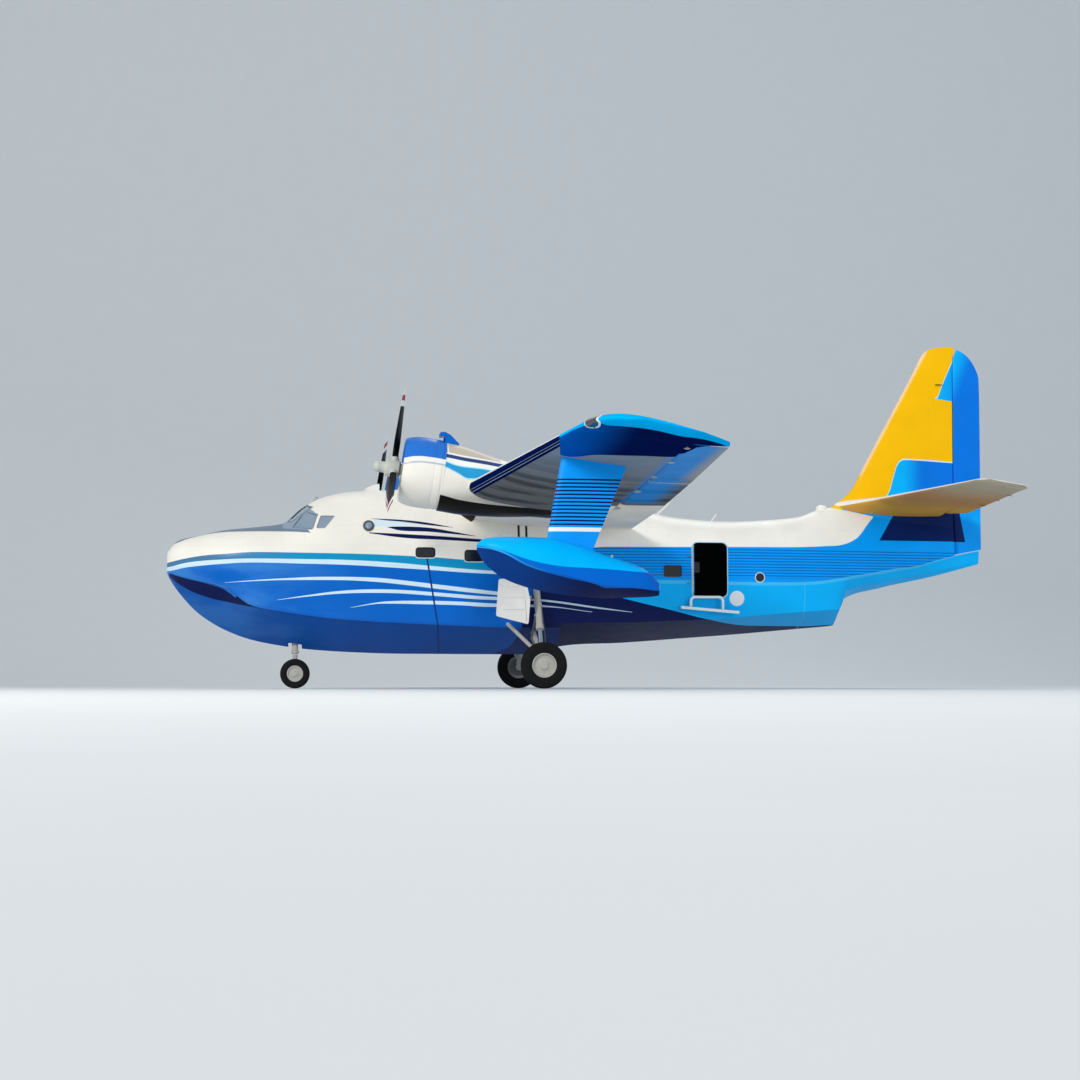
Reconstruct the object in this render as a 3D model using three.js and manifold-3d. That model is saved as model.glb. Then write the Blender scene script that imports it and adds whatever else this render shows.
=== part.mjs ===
// A twin-engined amphibious flying boat on its landing gear, in millimetres.
// X runs aft from the nose, Y to starboard and Z up. The origin is on the ground, at mid-length.
import * as THREE from 'three';
import { mergeVertices } from 'three/addons/utils/BufferGeometryUtils.js';
import Module from 'manifold-3d';

const wasm = await Module();
wasm.setup();

// Driving dimensions
const LENGTH = 18670;
const HALF_SPAN = 14730;
const GAP = 0.3;
const WALL = 60;
const SIDES = [{ side: 'left', hand: -1 }, { side: 'right', hand: 1 }];

// Where the hull's panels meet: stations are measured from the nose
const FLOOR = 1980;
const FLOOR_BOARD = 30;
const BOW_BULKHEAD = 2560;
const COCKPIT_BULKHEAD = 4620;
const CABIN_FRAME = 10600;
const TAIL_BULKHEAD = 14400;
const CEILING = 3400;
const CEILING_FROM = 6150;

// Engines
const ENGINE_SPREAD = 4150;
const THRUST_TILT = THREE.MathUtils.degToRad(7.8);
const PROPELLER = { station: 4838, height: 4573, radius: 1676, blades: 3, firstBlade: { left: 6.7, right: 28 } };
const COWL = { front: 200, length: 760, radius: 735, lip: 575, wall: 45 };
const ENGINE = { front: 360, length: 600, radius: 590 };

// Control surfaces turn on one straight line across the wing
const WING_HINGE = 9470;
const HINGE_GAP = 12;
const FLAP = { from: 1330, to: 9200 };
const AILERON = { from: 9240, to: 13740 };
const WING_ROOT = 1310;
const WING_BREAK = 4900;
const TIP_RIB = 13780;

// Tail
const RUDDER_HINGE = 18070;
const TAIL_HINGE = { root: 17750, tip: 17860 };

// Landing gear
const MAIN_WHEEL = { station: 8150, spread: 2690, radius: 500, width: 310, rim: 260 };
const NOSE_WHEEL = { station: 2850, spread: 190, radius: 330, width: 170, rim: 175 };

// The cabin door in the port side
const DOOR = { from: 11670, to: 12465, low: 2045, high: 3260, corner: 120, thick: 45, gap: 8, open: 90 };

const FINISH = {
  cream: { color: 0xefebdd, roughness: 0.35, metalness: 0 },
  blue: { color: 0x1f62c8, roughness: 0.3, metalness: 0 },
  azure: { color: 0x0f93e6, roughness: 0.3, metalness: 0 },
  yellow: { color: 0xfbb90f, roughness: 0.35, metalness: 0 },
  glass: { color: 0x5a6f7c, roughness: 0.05, metalness: 0 },
  metal: { color: 0x9da2a6, roughness: 0.4, metalness: 0.8 },
  black: { color: 0x1c1d20, roughness: 0.5, metalness: 0 },
  rubber: { color: 0x1d1d1e, roughness: 0.85, metalness: 0 },
  white: { color: 0xf1f1ec, roughness: 0.4, metalness: 0 },
  olive: { color: 0x55584b, roughness: 0.8, metalness: 0 },
};

const model = new THREE.Group();

function add(name, geometry, finish) {
  const mesh = new THREE.Mesh(geometry, new THREE.MeshStandardMaterial(FINISH[finish]));
  mesh.name = name;
  model.add(mesh);
  return mesh;
}

// Solids and cuts
function toSolid(geometry) {
  const bare = geometry.clone();
  bare.deleteAttribute('normal');
  bare.deleteAttribute('uv');
  const welded = mergeVertices(bare, 1e-3);
  return new wasm.Manifold(new wasm.Mesh({
    numProp: 3,
    vertProperties: new Float32Array(welded.attributes.position.array),
    triVerts: new Uint32Array(welded.index.array),
  }));
}

function toGeometry(solid) {
  const mesh = solid.getMesh();
  const geometry = new THREE.BufferGeometry();
  geometry.setAttribute('position', new THREE.BufferAttribute(mesh.vertProperties, 3));
  geometry.setIndex(new THREE.BufferAttribute(mesh.triVerts, 1));
  return geometry;
}

const join = (first, ...rest) => toGeometry(rest.reduce((all, one) => all.add(toSolid(one)), toSolid(first)));
const cut = (first, ...rest) => toGeometry(rest.reduce((all, one) => all.subtract(toSolid(one)), toSolid(first)));
const common = (first, other) => toGeometry(toSolid(first).intersect(toSolid(other)));

const place = (station, y, z) => new THREE.Vector3(station - LENGTH / 2, y, z);

function box(from, to) {
  const low = place(...from);
  const high = place(...to);
  const size = high.clone().sub(low);
  const middle = low.clone().add(high).multiplyScalar(0.5);
  return new THREE.BoxGeometry(size.x, size.y, size.z).translate(middle.x, middle.y, middle.z);
}

// A round bar between two points
function bar(from, to, radius, sides = 12) {
  const a = place(...from);
  const b = place(...to);
  const along = b.clone().sub(a);
  const turn = new THREE.Quaternion().setFromUnitVectors(new THREE.Vector3(0, 1, 0), along.clone().normalize());
  const geometry = new THREE.CylinderGeometry(radius, radius, along.length(), sides);
  geometry.applyQuaternion(turn);
  const middle = a.add(b).multiplyScalar(0.5);
  return geometry.translate(middle.x, middle.y, middle.z);
}

// A closed skin over rings that have the same number of points, with a fan over each end
function loft(rings) {
  const count = rings[0].length;
  const points = rings.flat();
  const faces = [];
  rings.slice(1).forEach((_, k) => {
    for (let i = 0; i < count; i += 1) {
      const a = k * count + i;
      const b = k * count + (i + 1) % count;
      faces.push(a, b, b + count, a, b + count, a + count);
    }
  });
  [rings[0], rings[rings.length - 1]].forEach((ring, end) => {
    const centre = ring.reduce((sum, p) => sum.add(p), new THREE.Vector3()).divideScalar(count);
    const middle = points.push(centre) - 1;
    const start = end * (rings.length - 1) * count;
    for (let i = 0; i < count; i += 1) {
      const pair = [start + i, start + (i + 1) % count];
      faces.push(middle, ...(end ? pair : pair.reverse()));
    }
  });
  const geometry = new THREE.BufferGeometry().setFromPoints(points);
  geometry.setIndex(faces);
  if (volumeInside(points, faces) < 0) {
    for (let i = 0; i < faces.length; i += 3) [faces[i], faces[i + 1]] = [faces[i + 1], faces[i]];
    geometry.setIndex(faces);
  }
  return geometry;
}

function volumeInside(points, faces) {
  let volume = 0;
  const cross = new THREE.Vector3();
  for (let i = 0; i < faces.length; i += 3) {
    volume += points[faces[i]].dot(cross.crossVectors(points[faces[i + 1]], points[faces[i + 2]])) / 6;
  }
  return volume;
}

// A flat outline of [station, height] corners, cut through the hull's side from y1 to y2
function sidePlate(corners, y1, y2) {
  const ring = (y) => corners.map(([station, z]) => place(station, y, z));
  return loft([ring(y1), ring(y2)]);
}

// The corners of a rectangle with round corners, in station and height
function roundedOutline(from, to, low, high, corner, steps = 3) {
  const centres = [
    [to - corner, low + corner, -90], [to - corner, high - corner, 0],
    [from + corner, high - corner, 90], [from + corner, low + corner, 180],
  ];
  return centres.flatMap(([s, z, start]) => Array.from({ length: steps + 1 }, (_, k) => {
    const angle = THREE.MathUtils.degToRad(start + (90 * k) / steps);
    return [s + corner * Math.cos(angle), z + corner * Math.sin(angle)];
  }));
}

// Hull sections. Round is the power of the arch over the shoulders: 2 is an ellipse.
const HULL = [
  // station keel chineY chineZ knuckleY knuckleZ shoulderY shoulderZ top round
  [0, 2560, 70, 2630, 110, 2740, 110, 2880, 3010, 2],
  [60, 2440, 170, 2590, 240, 2740, 240, 2890, 3105, 2],
  [270, 2130, 330, 2510, 430, 2710, 440, 2880, 3300, 2],
  [740, 1640, 560, 2385, 690, 2640, 710, 2850, 3410, 2],
  [1300, 1300, 780, 2235, 890, 2550, 910, 2840, 3540, 2],
  [1900, 1080, 940, 1830, 1020, 2450, 1040, 2860, 3600, 2.1],
  [2560, 950, 1050, 1700, 1110, 2400, 1120, 2900, 3690, 2.1],
  [3000, 890, 1100, 1630, 1145, 2400, 1150, 2950, 4045, 1.75],
  [3450, 850, 1135, 1570, 1175, 2400, 1180, 3000, 4290, 1.8],
  [4160, 810, 1180, 1510, 1205, 2400, 1205, 3050, 4430, 1.9],
  [5200, 780, 1215, 1450, 1225, 2400, 1220, 3100, 4465, 2],
  [8700, 770, 1225, 1350, 1230, 2400, 1225, 3150, 4390, 2],
  [8704, 930, 1225, 1440, 1230, 2400, 1225, 3150, 4390, 2],
  [10300, 1040, 1190, 1470, 1215, 2370, 1205, 3150, 4170, 2],
  [11000, 1090, 1165, 1500, 1195, 2360, 1190, 3150, 4060, 2],
  [11500, 1130, 1140, 1520, 1175, 2355, 1170, 3130, 3870, 2],
  [12700, 1220, 1050, 1590, 1100, 2350, 1090, 3080, 3790, 2],
  [13950, 1330, 865, 1705, 930, 2380, 915, 3080, 3885, 2],
  [14400, 1370, 800, 1740, 870, 2390, 850, 3080, 3950, 1.9],
  [14750, 1400, 740, 1765, 800, 2430, 780, 3080, 4080, 1.65],
  [15150, 1450, 640, 1800, 720, 2480, 700, 3080, 4160, 1.5],
  [15350, 2020, 500, 2210, 690, 2515, 670, 3080, 4170, 1.45],
  [16260, 2310, 330, 2440, 520, 2670, 500, 3140, 4100, 1.35],
  [17450, 2570, 160, 2680, 300, 2905, 290, 3240, 3900, 1.4],
  [18070, 2730, 90, 2820, 190, 3070, 180, 3330, 3800, 1.5],
  [18600, 2875, 30, 2930, 70, 3215, 70, 3260, 3330, 2],
];
const ARCH_STEPS = [15, 30, 45, 60, 75];

// One hull section as a ring; inset draws its sides and roof inwards
function hullRing([station, keel, chineY, chineZ, knuckleY, knuckleZ, shoulderY, shoulderZ, top, round], inset) {
  const squeeze = 1 - inset / shoulderY;
  const roof = top - inset - shoulderZ;
  const half = [
    [chineY / 2, (keel + chineZ) / 2 - 0.03 * (chineZ - keel)],
    [chineY, chineZ],
    [knuckleY, knuckleZ],
    [shoulderY, shoulderZ],
    ...ARCH_STEPS.map((angle) => {
      const t = THREE.MathUtils.degToRad(angle);
      return [shoulderY * Math.cos(t) ** (2 / round), shoulderZ + roof * Math.sin(t) ** (2 / round)];
    }),
  ];
  const starboard = half.map(([y, z]) => place(station, y * squeeze, z));
  const port = half.map(([y, z]) => place(station, -y * squeeze, z)).reverse();
  return [place(station, 0, keel), ...starboard, place(station, 0, top - inset), ...port];
}

const hullOutside = loft(HULL.map((row) => hullRing(row, 0)));
const HULL_SPACE = HULL.filter((row) => row[0] >= BOW_BULKHEAD && row[0] < 18000);
const hullSpace = (inset) => loft(HULL_SPACE.map((row) => hullRing(row, inset)));
const hullInside = hullSpace(WALL);

// The part of a hull solid between two stations and two heights
const slab = (geometry, from, to, low, high) => common(geometry, box([from, -3000, low], [to, 3000, high]));

// Aerofoils. Wing rows are linear between these ribs.
const WING = [
  // y lead chord height incidence thickness
  [0, 6360, 3970, 4015, 7, 0.17],
  [WING_BREAK, 6360, 3970, 4158, 7, 0.165],
  [TIP_RIB, 7597, 2470, 4480, 9, 0.13],
  [14250, 7745, 2240, 4492, 9.5, 0.11],
  [14550, 7960, 1830, 4480, 10.5, 0.085],
  [HALF_SPAN, 8380, 1060, 4440, 11, 0.05],
];
const WING_CAMBER = 0.02;
const CAMBER_PEAK = 0.3;
const TRAILING_EDGE = 8;

// The row of a table at a value of its first column, mixed from the two rows beside it
function rowAt(table, at) {
  const k = table.findIndex((row, i) => i > 0 && at <= row[0]);
  const mix = (at - table[k - 1][0]) / (table[k][0] - table[k - 1][0]);
  return table[k].map((v, i) => THREE.MathUtils.lerp(table[k - 1][i], v, mix));
}

function ribAt(table, y, camber) {
  const [, lead, chord, height, incidence, thickness] = rowAt(table, y);
  return { y, lead, chord, height, incidence: THREE.MathUtils.degToRad(incidence), thickness, camber };
}

function halfThickness(rib, x) {
  const shape = 0.2969 * Math.sqrt(x) - 0.126 * x - 0.3516 * x ** 2 + 0.2843 * x ** 3 - 0.1036 * x ** 4;
  return 5 * rib.thickness * shape + (x * TRAILING_EDGE) / 2 / rib.chord;
}

function camberAt(rib, x) {
  const peak = CAMBER_PEAK;
  if (x < peak) return (rib.camber / peak ** 2) * (2 * peak * x - x * x);
  return (rib.camber / (1 - peak) ** 2) * (1 - 2 * peak + 2 * peak * x - x * x);
}

// A point of the rib, x along the chord and up across it, both as parts of the chord
function onRib(rib, x, up, hand) {
  const c = Math.cos(rib.incidence);
  const s = Math.sin(rib.incidence);
  return place(rib.lead + rib.chord * (x * c + up * s), hand * rib.y, rib.height + rib.chord * (up * c - x * s));
}

const RIB_STEPS = [0.75, 0.5, 0.3, 0.15, 0.05, 0.012];

// The rib from its nose back to x = end, grown outwards by swell
function ribRing(rib, end, hand, swell = 0) {
  const steps = RIB_STEPS.map((part) => part * end);
  const grown = swell / rib.chord;
  const skin = (x, sign) => onRib(rib, x, camberAt(rib, x) + sign * (halfThickness(rib, x) + grown), hand);
  const tail = end + grown;
  const tailSkin = (sign) => onRib(rib, tail, camberAt(rib, end) + sign * (halfThickness(rib, end) + grown), hand);
  return [
    tailSkin(1), ...steps.map((x) => skin(x, 1)), onRib(rib, -grown, 0, hand),
    ...steps.reverse().map((x) => skin(x, -1)), tailSkin(-1),
  ];
}

// A control surface's rib: a round nose on the hinge, then the aerofoil's tail. shift moves it onto the hinge line.
function controlRing(rib, hingeX, hand, shift) {
  const middle = camberAt(rib, hingeX);
  const radius = halfThickness(rib, hingeX);
  const nose = [110, 145, 180, 215, 250].map((angle) => {
    const t = THREE.MathUtils.degToRad(angle);
    return onRib(rib, hingeX + radius * Math.cos(t), middle + radius * Math.sin(t), hand);
  });
  const rest = [0.15, 0.55, 1].map((part) => hingeX + part * (1 - hingeX));
  const lower = rest.map((x) => onRib(rib, x, camberAt(rib, x) - halfThickness(rib, x), hand));
  const upper = rest.map((x) => onRib(rib, x, camberAt(rib, x) + halfThickness(rib, x), hand)).reverse();
  return [...nose, ...lower, ...upper].map((p) => p.add(shift));
}

const hingePart = (rib, station) => (station - rib.lead) / (rib.chord * Math.cos(rib.incidence));

// The fixed part of a rib ahead of a hinge that lies on a given station
function fixedRing(rib, station, hand, swell = 0) {
  const hingeX = hingePart(rib, station);
  return ribRing(rib, hingeX - halfThickness(rib, hingeX) - HINGE_GAP / rib.chord, hand, swell);
}

// Where a table has its own ribs between two others
const ribsBetween = (table, from, to) => table.map((row) => row[0]).filter((y) => y > from && y < to);

// A control surface between two ribs of a table, straight along its hinge
function controlSurface(table, camber, from, to, stationAt, hand) {
  const hinged = (y) => {
    const rib = ribAt(table, y, camber);
    const x = hingePart(rib, stationAt(y));
    return { rib, x, centre: onRib(rib, x, camberAt(rib, x), hand) };
  };
  const [start, end] = [from, to].map((y) => hinged(y).centre);
  return loft([from, ...ribsBetween(table, from, to), to].map((y) => {
    const { rib, x, centre } = hinged(y);
    const line = start.clone().lerp(end, (y - from) / (to - from));
    return controlRing(rib, x, hand, line.sub(centre));
  }));
}

const wingRib = (y) => ribAt(WING, y, WING_CAMBER);

// The wing through the fuselage, between the two wing joints, with its fixed trailing edge between the flaps
function wingCentre(swell) {
  const across = (y) => ({ ...wingRib(Math.abs(y)), y });
  const spar = [-WING_BREAK, 0, WING_BREAK].map((y) => fixedRing(across(y), WING_HINGE, 1, swell));
  const root = [-WING_ROOT, 0, WING_ROOT].map((y) => ribRing(across(y), 1, 1, swell));
  return join(loft(spar), loft(root));
}

const wingCut = wingCentre(1);
const cabinSpace = cut(
  hullInside,
  box([CEILING_FROM, -2000, CEILING], [CABIN_FRAME, 2000, 5000]),
);

// Windows: each outline is cut through one or both sides
const CABIN_WINDOWS = [
  // from to low high corner hands
  [5470, 5910, 2880, 3110, 70, [-1, 1]],
  [6550, 6990, 2800, 3060, 70, [-1, 1]],
  [11010, 11420, 2485, 2745, 50, [-1, 1]],
  [13130, 13330, 2390, 2590, 99, [-1, 1]],
  [11860, 12300, 2700, 2960, 70, [1]],
];
const COCKPIT_SIDE_WINDOWS = [
  [[3290, 3530], [3480, 3530], [3700, 3810], [3390, 3820]],
  [[2770, 3560], [3210, 3520], [3310, 3830], [3050, 3930]],
];
const WINDSCREEN_PANE = [[45, 3765], [560, 3700], [480, 4030], [45, 4110]];

function windowCuts(from, to) {
  return CABIN_WINDOWS.filter((row) => row[0] > from && row[1] < to).flatMap(([a, b, low, high, corner, hands]) => (
    hands.map((hand) => sidePlate(roundedOutline(a, b, low, high, corner), hand * 600, hand * 1500))
  ));
}

function cockpitCuts() {
  const sideCuts = COCKPIT_SIDE_WINDOWS.flatMap((corners) => [-1, 1].map((hand) => (
    sidePlate(corners, hand * 580, hand * 1400)
  )));
  const frontCuts = [-1, 1].map((hand) => {
    const ring = (station) => WINDSCREEN_PANE.map(([y, z]) => place(station, hand * y, z));
    return loft([ring(2500), ring(3100)]);
  });
  return [...sideCuts, ...frontCuts];
}

const doorCut = sidePlate(roundedOutline(DOOR.from, DOOR.to, DOOR.low, DOOR.high, DOOR.corner), -600, -1500);

const noseWell = box([NOSE_WHEEL.station - 130, -130, 700], [NOSE_WHEEL.station + 130, 130, 1400]);
add('hull_bow', slab(hullOutside, -10, BOW_BULKHEAD - GAP, 0, 6000), 'blue');
add('hull_bottom', cut(slab(hullOutside, BOW_BULKHEAD, 15400, 0, FLOOR), noseWell), 'blue');

const cockpitOpening = box([4000, -400, FLOOR], [5000, 400, 3700]);
add('cockpit_shell', cut(
  slab(hullOutside, BOW_BULKHEAD, COCKPIT_BULKHEAD - GAP, FLOOR + GAP, 6000),
  slab(hullInside, BOW_BULKHEAD + WALL, COCKPIT_BULKHEAD - WALL, 0, 6000),
  cockpitOpening,
  ...cockpitCuts(),
), 'cream');

add('cabin_shell_forward', cut(
  slab(hullOutside, COCKPIT_BULKHEAD, CABIN_FRAME - GAP, FLOOR + GAP, 6000),
  cabinSpace,
  wingCut,
  ...windowCuts(COCKPIT_BULKHEAD, CABIN_FRAME),
), 'cream');

add('cabin_shell_aft', cut(
  slab(hullOutside, CABIN_FRAME, TAIL_BULKHEAD - GAP, FLOOR + GAP, 6000),
  slab(hullInside, CABIN_FRAME - 1, TAIL_BULKHEAD - WALL, 0, 6000),
  ...windowCuts(CABIN_FRAME, TAIL_BULKHEAD),
  doorCut,
), 'cream');

// The floor boards of the cabin
add('cabin_floor', slab(
  hullSpace(WALL + 20),
  COCKPIT_BULKHEAD + 50,
  TAIL_BULKHEAD - 2 * WALL,
  FLOOR + GAP,
  FLOOR + FLOOR_BOARD,
), 'olive');

// The tail cone carries the rudder's heel: behind the hinge its top is cut along a rising line
const HEEL = { station: RUDDER_HINGE - 90, height: 3060, endHeight: 3215 };
const heelCut = (lift) => sidePlate([
  [HEEL.station, HEEL.height + lift],
  [18800, HEEL.endHeight + lift],
  [18800, 9000],
  [HEEL.station, 9000],
], -500, 500);
const TAIL_SPACE_END = 16900;
add('tail_cone', cut(
  slab(hullOutside, TAIL_BULKHEAD, 18700, FLOOR + GAP, 6000),
  slab(hullInside, TAIL_BULKHEAD + WALL, TAIL_SPACE_END, FLOOR + WALL, 6000),
  box([TAIL_BULKHEAD - 1, -300, 2300], [TAIL_BULKHEAD + 2 * WALL, 300, 3500]),
  heelCut(0),
), 'azure');

// Cockpit glass is one band against the inside of the cockpit's wall
const GLASS = 14;
const glassBand = (from, to, low, high, y1, y2) => {
  return common(cut(hullSpace(WALL + 2), hullSpace(WALL + 2 + GLASS)), box([from, y1, low], [to, y2, high]));
};
add('cockpit_glass', glassBand(BOW_BULKHEAD + WALL + 2, 3800, 3440, 4200, -1200, 1200), 'glass');
SIDES.forEach(({ side, hand }) => {
  const [y1, y2] = hand < 0 ? [-1300, 0] : [0, 1300];
  add(`cabin_glass_${side}`, glassBand(5400, 7060, 2740, 3170, y1, y2), 'glass');
});

// Cockpit
const COCKPIT_FLOOR = 2560;
const seats = SIDES.map(({ hand }) => {
  const y = hand * 480;
  return join(
    box([3640, y - 170, COCKPIT_FLOOR - 1], [3940, y + 170, 2900]),
    box([3560, y - 240, 2890], [4080, y + 240, 3010]),
    box([4020, y - 240, 2960], [4120, y + 240, 3740]),
  );
});
const cockpitDeck = box([2700, -1020, COCKPIT_FLOOR - 40], [4540, 1020, COCKPIT_FLOOR]);
add('cockpit_floor_and_seats', join(cockpitDeck, ...seats), 'olive');
add('instrument_panel', join(
  box([2860, -800, 3080], [2960, 800, 3480]),
  box([2900, -180, COCKPIT_FLOOR + GAP], [3260, 180, 3100]),
), 'black');

// Wing
add('wing_centre', wingCentre(0), 'cream');
SIDES.forEach(({ side, hand }) => {
  const rib = (y) => fixedRing(wingRib(y), WING_HINGE, hand);
  const surface = ({ from, to }) => controlSurface(WING, WING_CAMBER, from, to, () => WING_HINGE, hand);
  add(`wing_outer_${side}`, loft([rib(WING_BREAK + GAP), rib(TIP_RIB - GAP)]), 'cream');
  const tipRows = WING.map((row) => row[0]).filter((y) => y >= TIP_RIB);
  add(`wing_tip_${side}`, loft(tipRows.map((y) => ribRing(wingRib(y), 1, hand))), 'azure');
  add(`flap_${side}`, surface(FLAP), 'cream');
  add(`aileron_${side}`, surface(AILERON), 'cream');
});

// Nacelles: rings are ellipses, and the first one leans with the engine
const NACELLE = [
  // station bottom top halfWidth
  [5830, 3700, 5140, 700],
  [6350, 3610, 5020, 690],
  [7100, 3580, 4770, 640],
  [7900, 3600, 4520, 540],
  [8600, 3680, 4250, 400],
  [9000, 3760, 4050, 250],
];

function nacelleRing([station, bottom, top, halfWidth], y, lean) {
  const middle = (bottom + top) / 2;
  return Array.from({ length: 20 }, (_, k) => {
    const t = (k / 20) * 2 * Math.PI;
    const z = middle + ((top - bottom) / 2) * Math.sin(t);
    return place(station + lean * (z - middle), y + halfWidth * Math.cos(t), z);
  });
}

// Turns a solid that was made about the X axis onto the tilted thrust line of one engine
function onThrustLine(geometry, hand) {
  const hub = place(PROPELLER.station, hand * ENGINE_SPREAD, PROPELLER.height);
  return geometry.rotateY(THRUST_TILT).translate(hub.x, hub.y, hub.z);
}

// A lathe about the X axis, from [distance aft, radius] pairs
function turned(profile, sides) {
  const outline = profile.map(([along, radius]) => new THREE.Vector2(radius, along));
  return new THREE.LatheGeometry(outline, sides).rotateZ(-Math.PI / 2);
}

function engineCowl() {
  const { front, length, radius, lip, wall } = COWL;
  const back = front + length;
  return turned([
    [front, lip], [front - 35, lip + 45], [front, lip + 95], [front + 170, radius - 15], [front + 400, radius],
    [back, radius - 12], [back, radius - 12 - wall], [front + 300, radius - wall - 25], [front + 90, lip + 20], [front, lip],
  ], 32);
}

// Blade rows: distance from the hub's centre, chord, thickness and pitch in degrees
const BLADE = [
  [140, 130, 125, 45],
  [330, 170, 105, 36],
  [620, 290, 62, 26],
  [1050, 330, 36, 18],
  [1450, 300, 22, 14],
  [1630, 200, 14, 12],
  [PROPELLER.radius, 90, 8, 12],
];

function blade(angle) {
  const rings = BLADE.map(([reach, chord, thick, pitch]) => {
    const twist = THREE.MathUtils.degToRad(pitch);
    return Array.from({ length: 10 }, (_, k) => {
      const t = (k / 10) * 2 * Math.PI;
      const across = (chord / 2) * Math.cos(t);
      const through = (thick / 2) * Math.sin(t);
      return new THREE.Vector3(
        across * Math.sin(twist) + through * Math.cos(twist),
        across * Math.cos(twist) - through * Math.sin(twist),
        reach,
      );
    });
  });
  return loft(rings).rotateX(angle);
}

function propeller(firstBlade) {
  const hub = turned([
    [-430, 0], [-425, 55], [-395, 95], [-330, 115], [-180, 120], [-150, 175], [110, 190], [140, 120], [140, 0],
  ], 20);
  const blades = Array.from({ length: PROPELLER.blades }, (_, k) => (
    blade(THREE.MathUtils.degToRad(firstBlade) + (k * 2 * Math.PI) / PROPELLER.blades)
  ));
  return join(hub, ...blades);
}

// The air scoop on each nacelle: its mouth stands over the cowling's rear edge
const SCOOP = [
  // station halfWidth low high
  [5800, 250, 5248, 5328],
  [5892, 250, 5246, 5334],
  [5896, 250, 5060, 5334],
  [6060, 240, 5040, 5305],
  [6420, 170, 4900, 5110],
];

SIDES.forEach(({ side, hand }) => {
  const y = hand * ENGINE_SPREAD;
  const body = loft(NACELLE.map((row, k) => nacelleRing(row, y, k === 0 ? Math.tan(THRUST_TILT) : 0)));
  const scoop = loft(SCOOP.map(([station, halfWidth, low, high]) => [
    place(station, y - halfWidth, low), place(station, y + halfWidth, low),
    place(station, y + halfWidth * 0.8, high), place(station, y - halfWidth * 0.8, high),
  ]));
  const stub = bar([6050, y - hand * 380, 3900], [6560, y - hand * 520, 3560], 85, 12);
  add(`nacelle_${side}`, cut(join(body, scoop, stub), wingCut), 'cream');
  add(`cowling_${side}`, onThrustLine(engineCowl(), hand), 'blue');
  add(`engine_${side}`, onThrustLine(turned([
    [ENGINE.front - 180, 0], [ENGINE.front - 170, 150], [ENGINE.front - 20, 230], [ENGINE.front, ENGINE.radius],
    [ENGINE.front + ENGINE.length, ENGINE.radius], [ENGINE.front + ENGINE.length, 0],
  ], 24), hand), 'metal');
  add(`propeller_${side}`, onThrustLine(propeller(PROPELLER.firstBlade[side]), hand), 'black');
});

// Wing floats
const FLOAT_SPREAD = 10900;
const FLOAT = [
  // station halfWidth keel chine deck
  [6010, 40, 2480, 2560, 2600],
  [6150, 210, 2260, 2520, 2700],
  [6550, 370, 1960, 2380, 2735],
  [7200, 450, 1760, 2120, 2725],
  [7900, 450, 1660, 1950, 2570],
  [8300, 410, 1640, 1850, 2420],
  [8700, 320, 1650, 1830, 2300],
  [9100, 200, 1665, 1800, 2130],
  [9300, 70, 1690, 1780, 1920],
];
const FLOAT_WALL = 0.25;
const FLOAT_ARCH = [0, 35, 60, 90, 120, 145, 180];

// A float section: a vee bottom, low walls and an arched deck
function floatRing([station, halfWidth, keel, chine, deck], y) {
  const wall = chine + FLOAT_WALL * (deck - chine);
  const arch = FLOAT_ARCH.map((angle) => {
    const t = THREE.MathUtils.degToRad(angle);
    return [Math.cos(t), wall + (deck - wall) * Math.sin(t)];
  });
  return [[0, keel], [1, chine], ...arch, [-1, chine]].map(([part, z]) => place(station, y + part * halfWidth, z));
}

const STRUT = {
  top: { lead: 7540, chord: 1250, height: 4200, thickness: 0.14 },
  foot: { lead: 7230, chord: 870, height: 2500, thickness: 0.17 },
};

function strutRing({ lead, chord, height, thickness }, y) {
  const rib = { lead: 0, chord, thickness };
  const steps = [1, 0.7, 0.4, 0.2, 0.07, 0.015];
  const half = steps.map((x) => [lead + x * chord, halfThickness(rib, x) * chord]);
  const near = half.map(([station, out]) => place(station, y + out, height));
  const far = half.map(([station, out]) => place(station, y - out, height)).reverse();
  return [...near, place(lead, y, height), ...far];
}

function outerWingCut(hand) {
  const rib = (y) => fixedRing(wingRib(y), WING_HINGE, hand, 1);
  return loft([rib(WING_BREAK), rib(TIP_RIB)]);
}

SIDES.forEach(({ side, hand }) => {
  const y = hand * FLOAT_SPREAD;
  const hullOfFloat = loft(FLOAT.map((row) => floatRing(row, y)));
  const swollen = loft(FLOAT.map(([s, w, keel, chine, deck]) => floatRing([s, w + 1, keel - 1, chine, deck + 1], y)));
  add(`wing_float_${side}`, hullOfFloat, 'azure');
  add(`float_strut_${side}`, cut(loft([strutRing(STRUT.foot, y), strutRing(STRUT.top, y)]), swollen, outerWingCut(hand)), 'azure');
});

// Fin and rudder: rows are level sections
const FIN = [
  // height lead trail thickness
  [3560, 15110, 18670, 0.1],
  [4150, 15110, 18670, 0.1],
  [4320, 15337, 18670, 0.1],
  [4533, 15575, 18670, 0.1],
  [5117, 15894, 18670, 0.1],
  [6500, 16647, 18670, 0.095],
  [7191, 17023, 18660, 0.09],
  [7505, 17186, 18550, 0.085],
  [7701, 17286, 18410, 0.075],
  [7830, 17406, 18245, 0.06],
  [7895, 17560, 18110, 0.045],
  [7924, 17740, 18090, 0.03],
];

function finRib([height, lead, trail, thickness]) {
  return { lead, chord: trail - lead, height, thickness };
}

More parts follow.
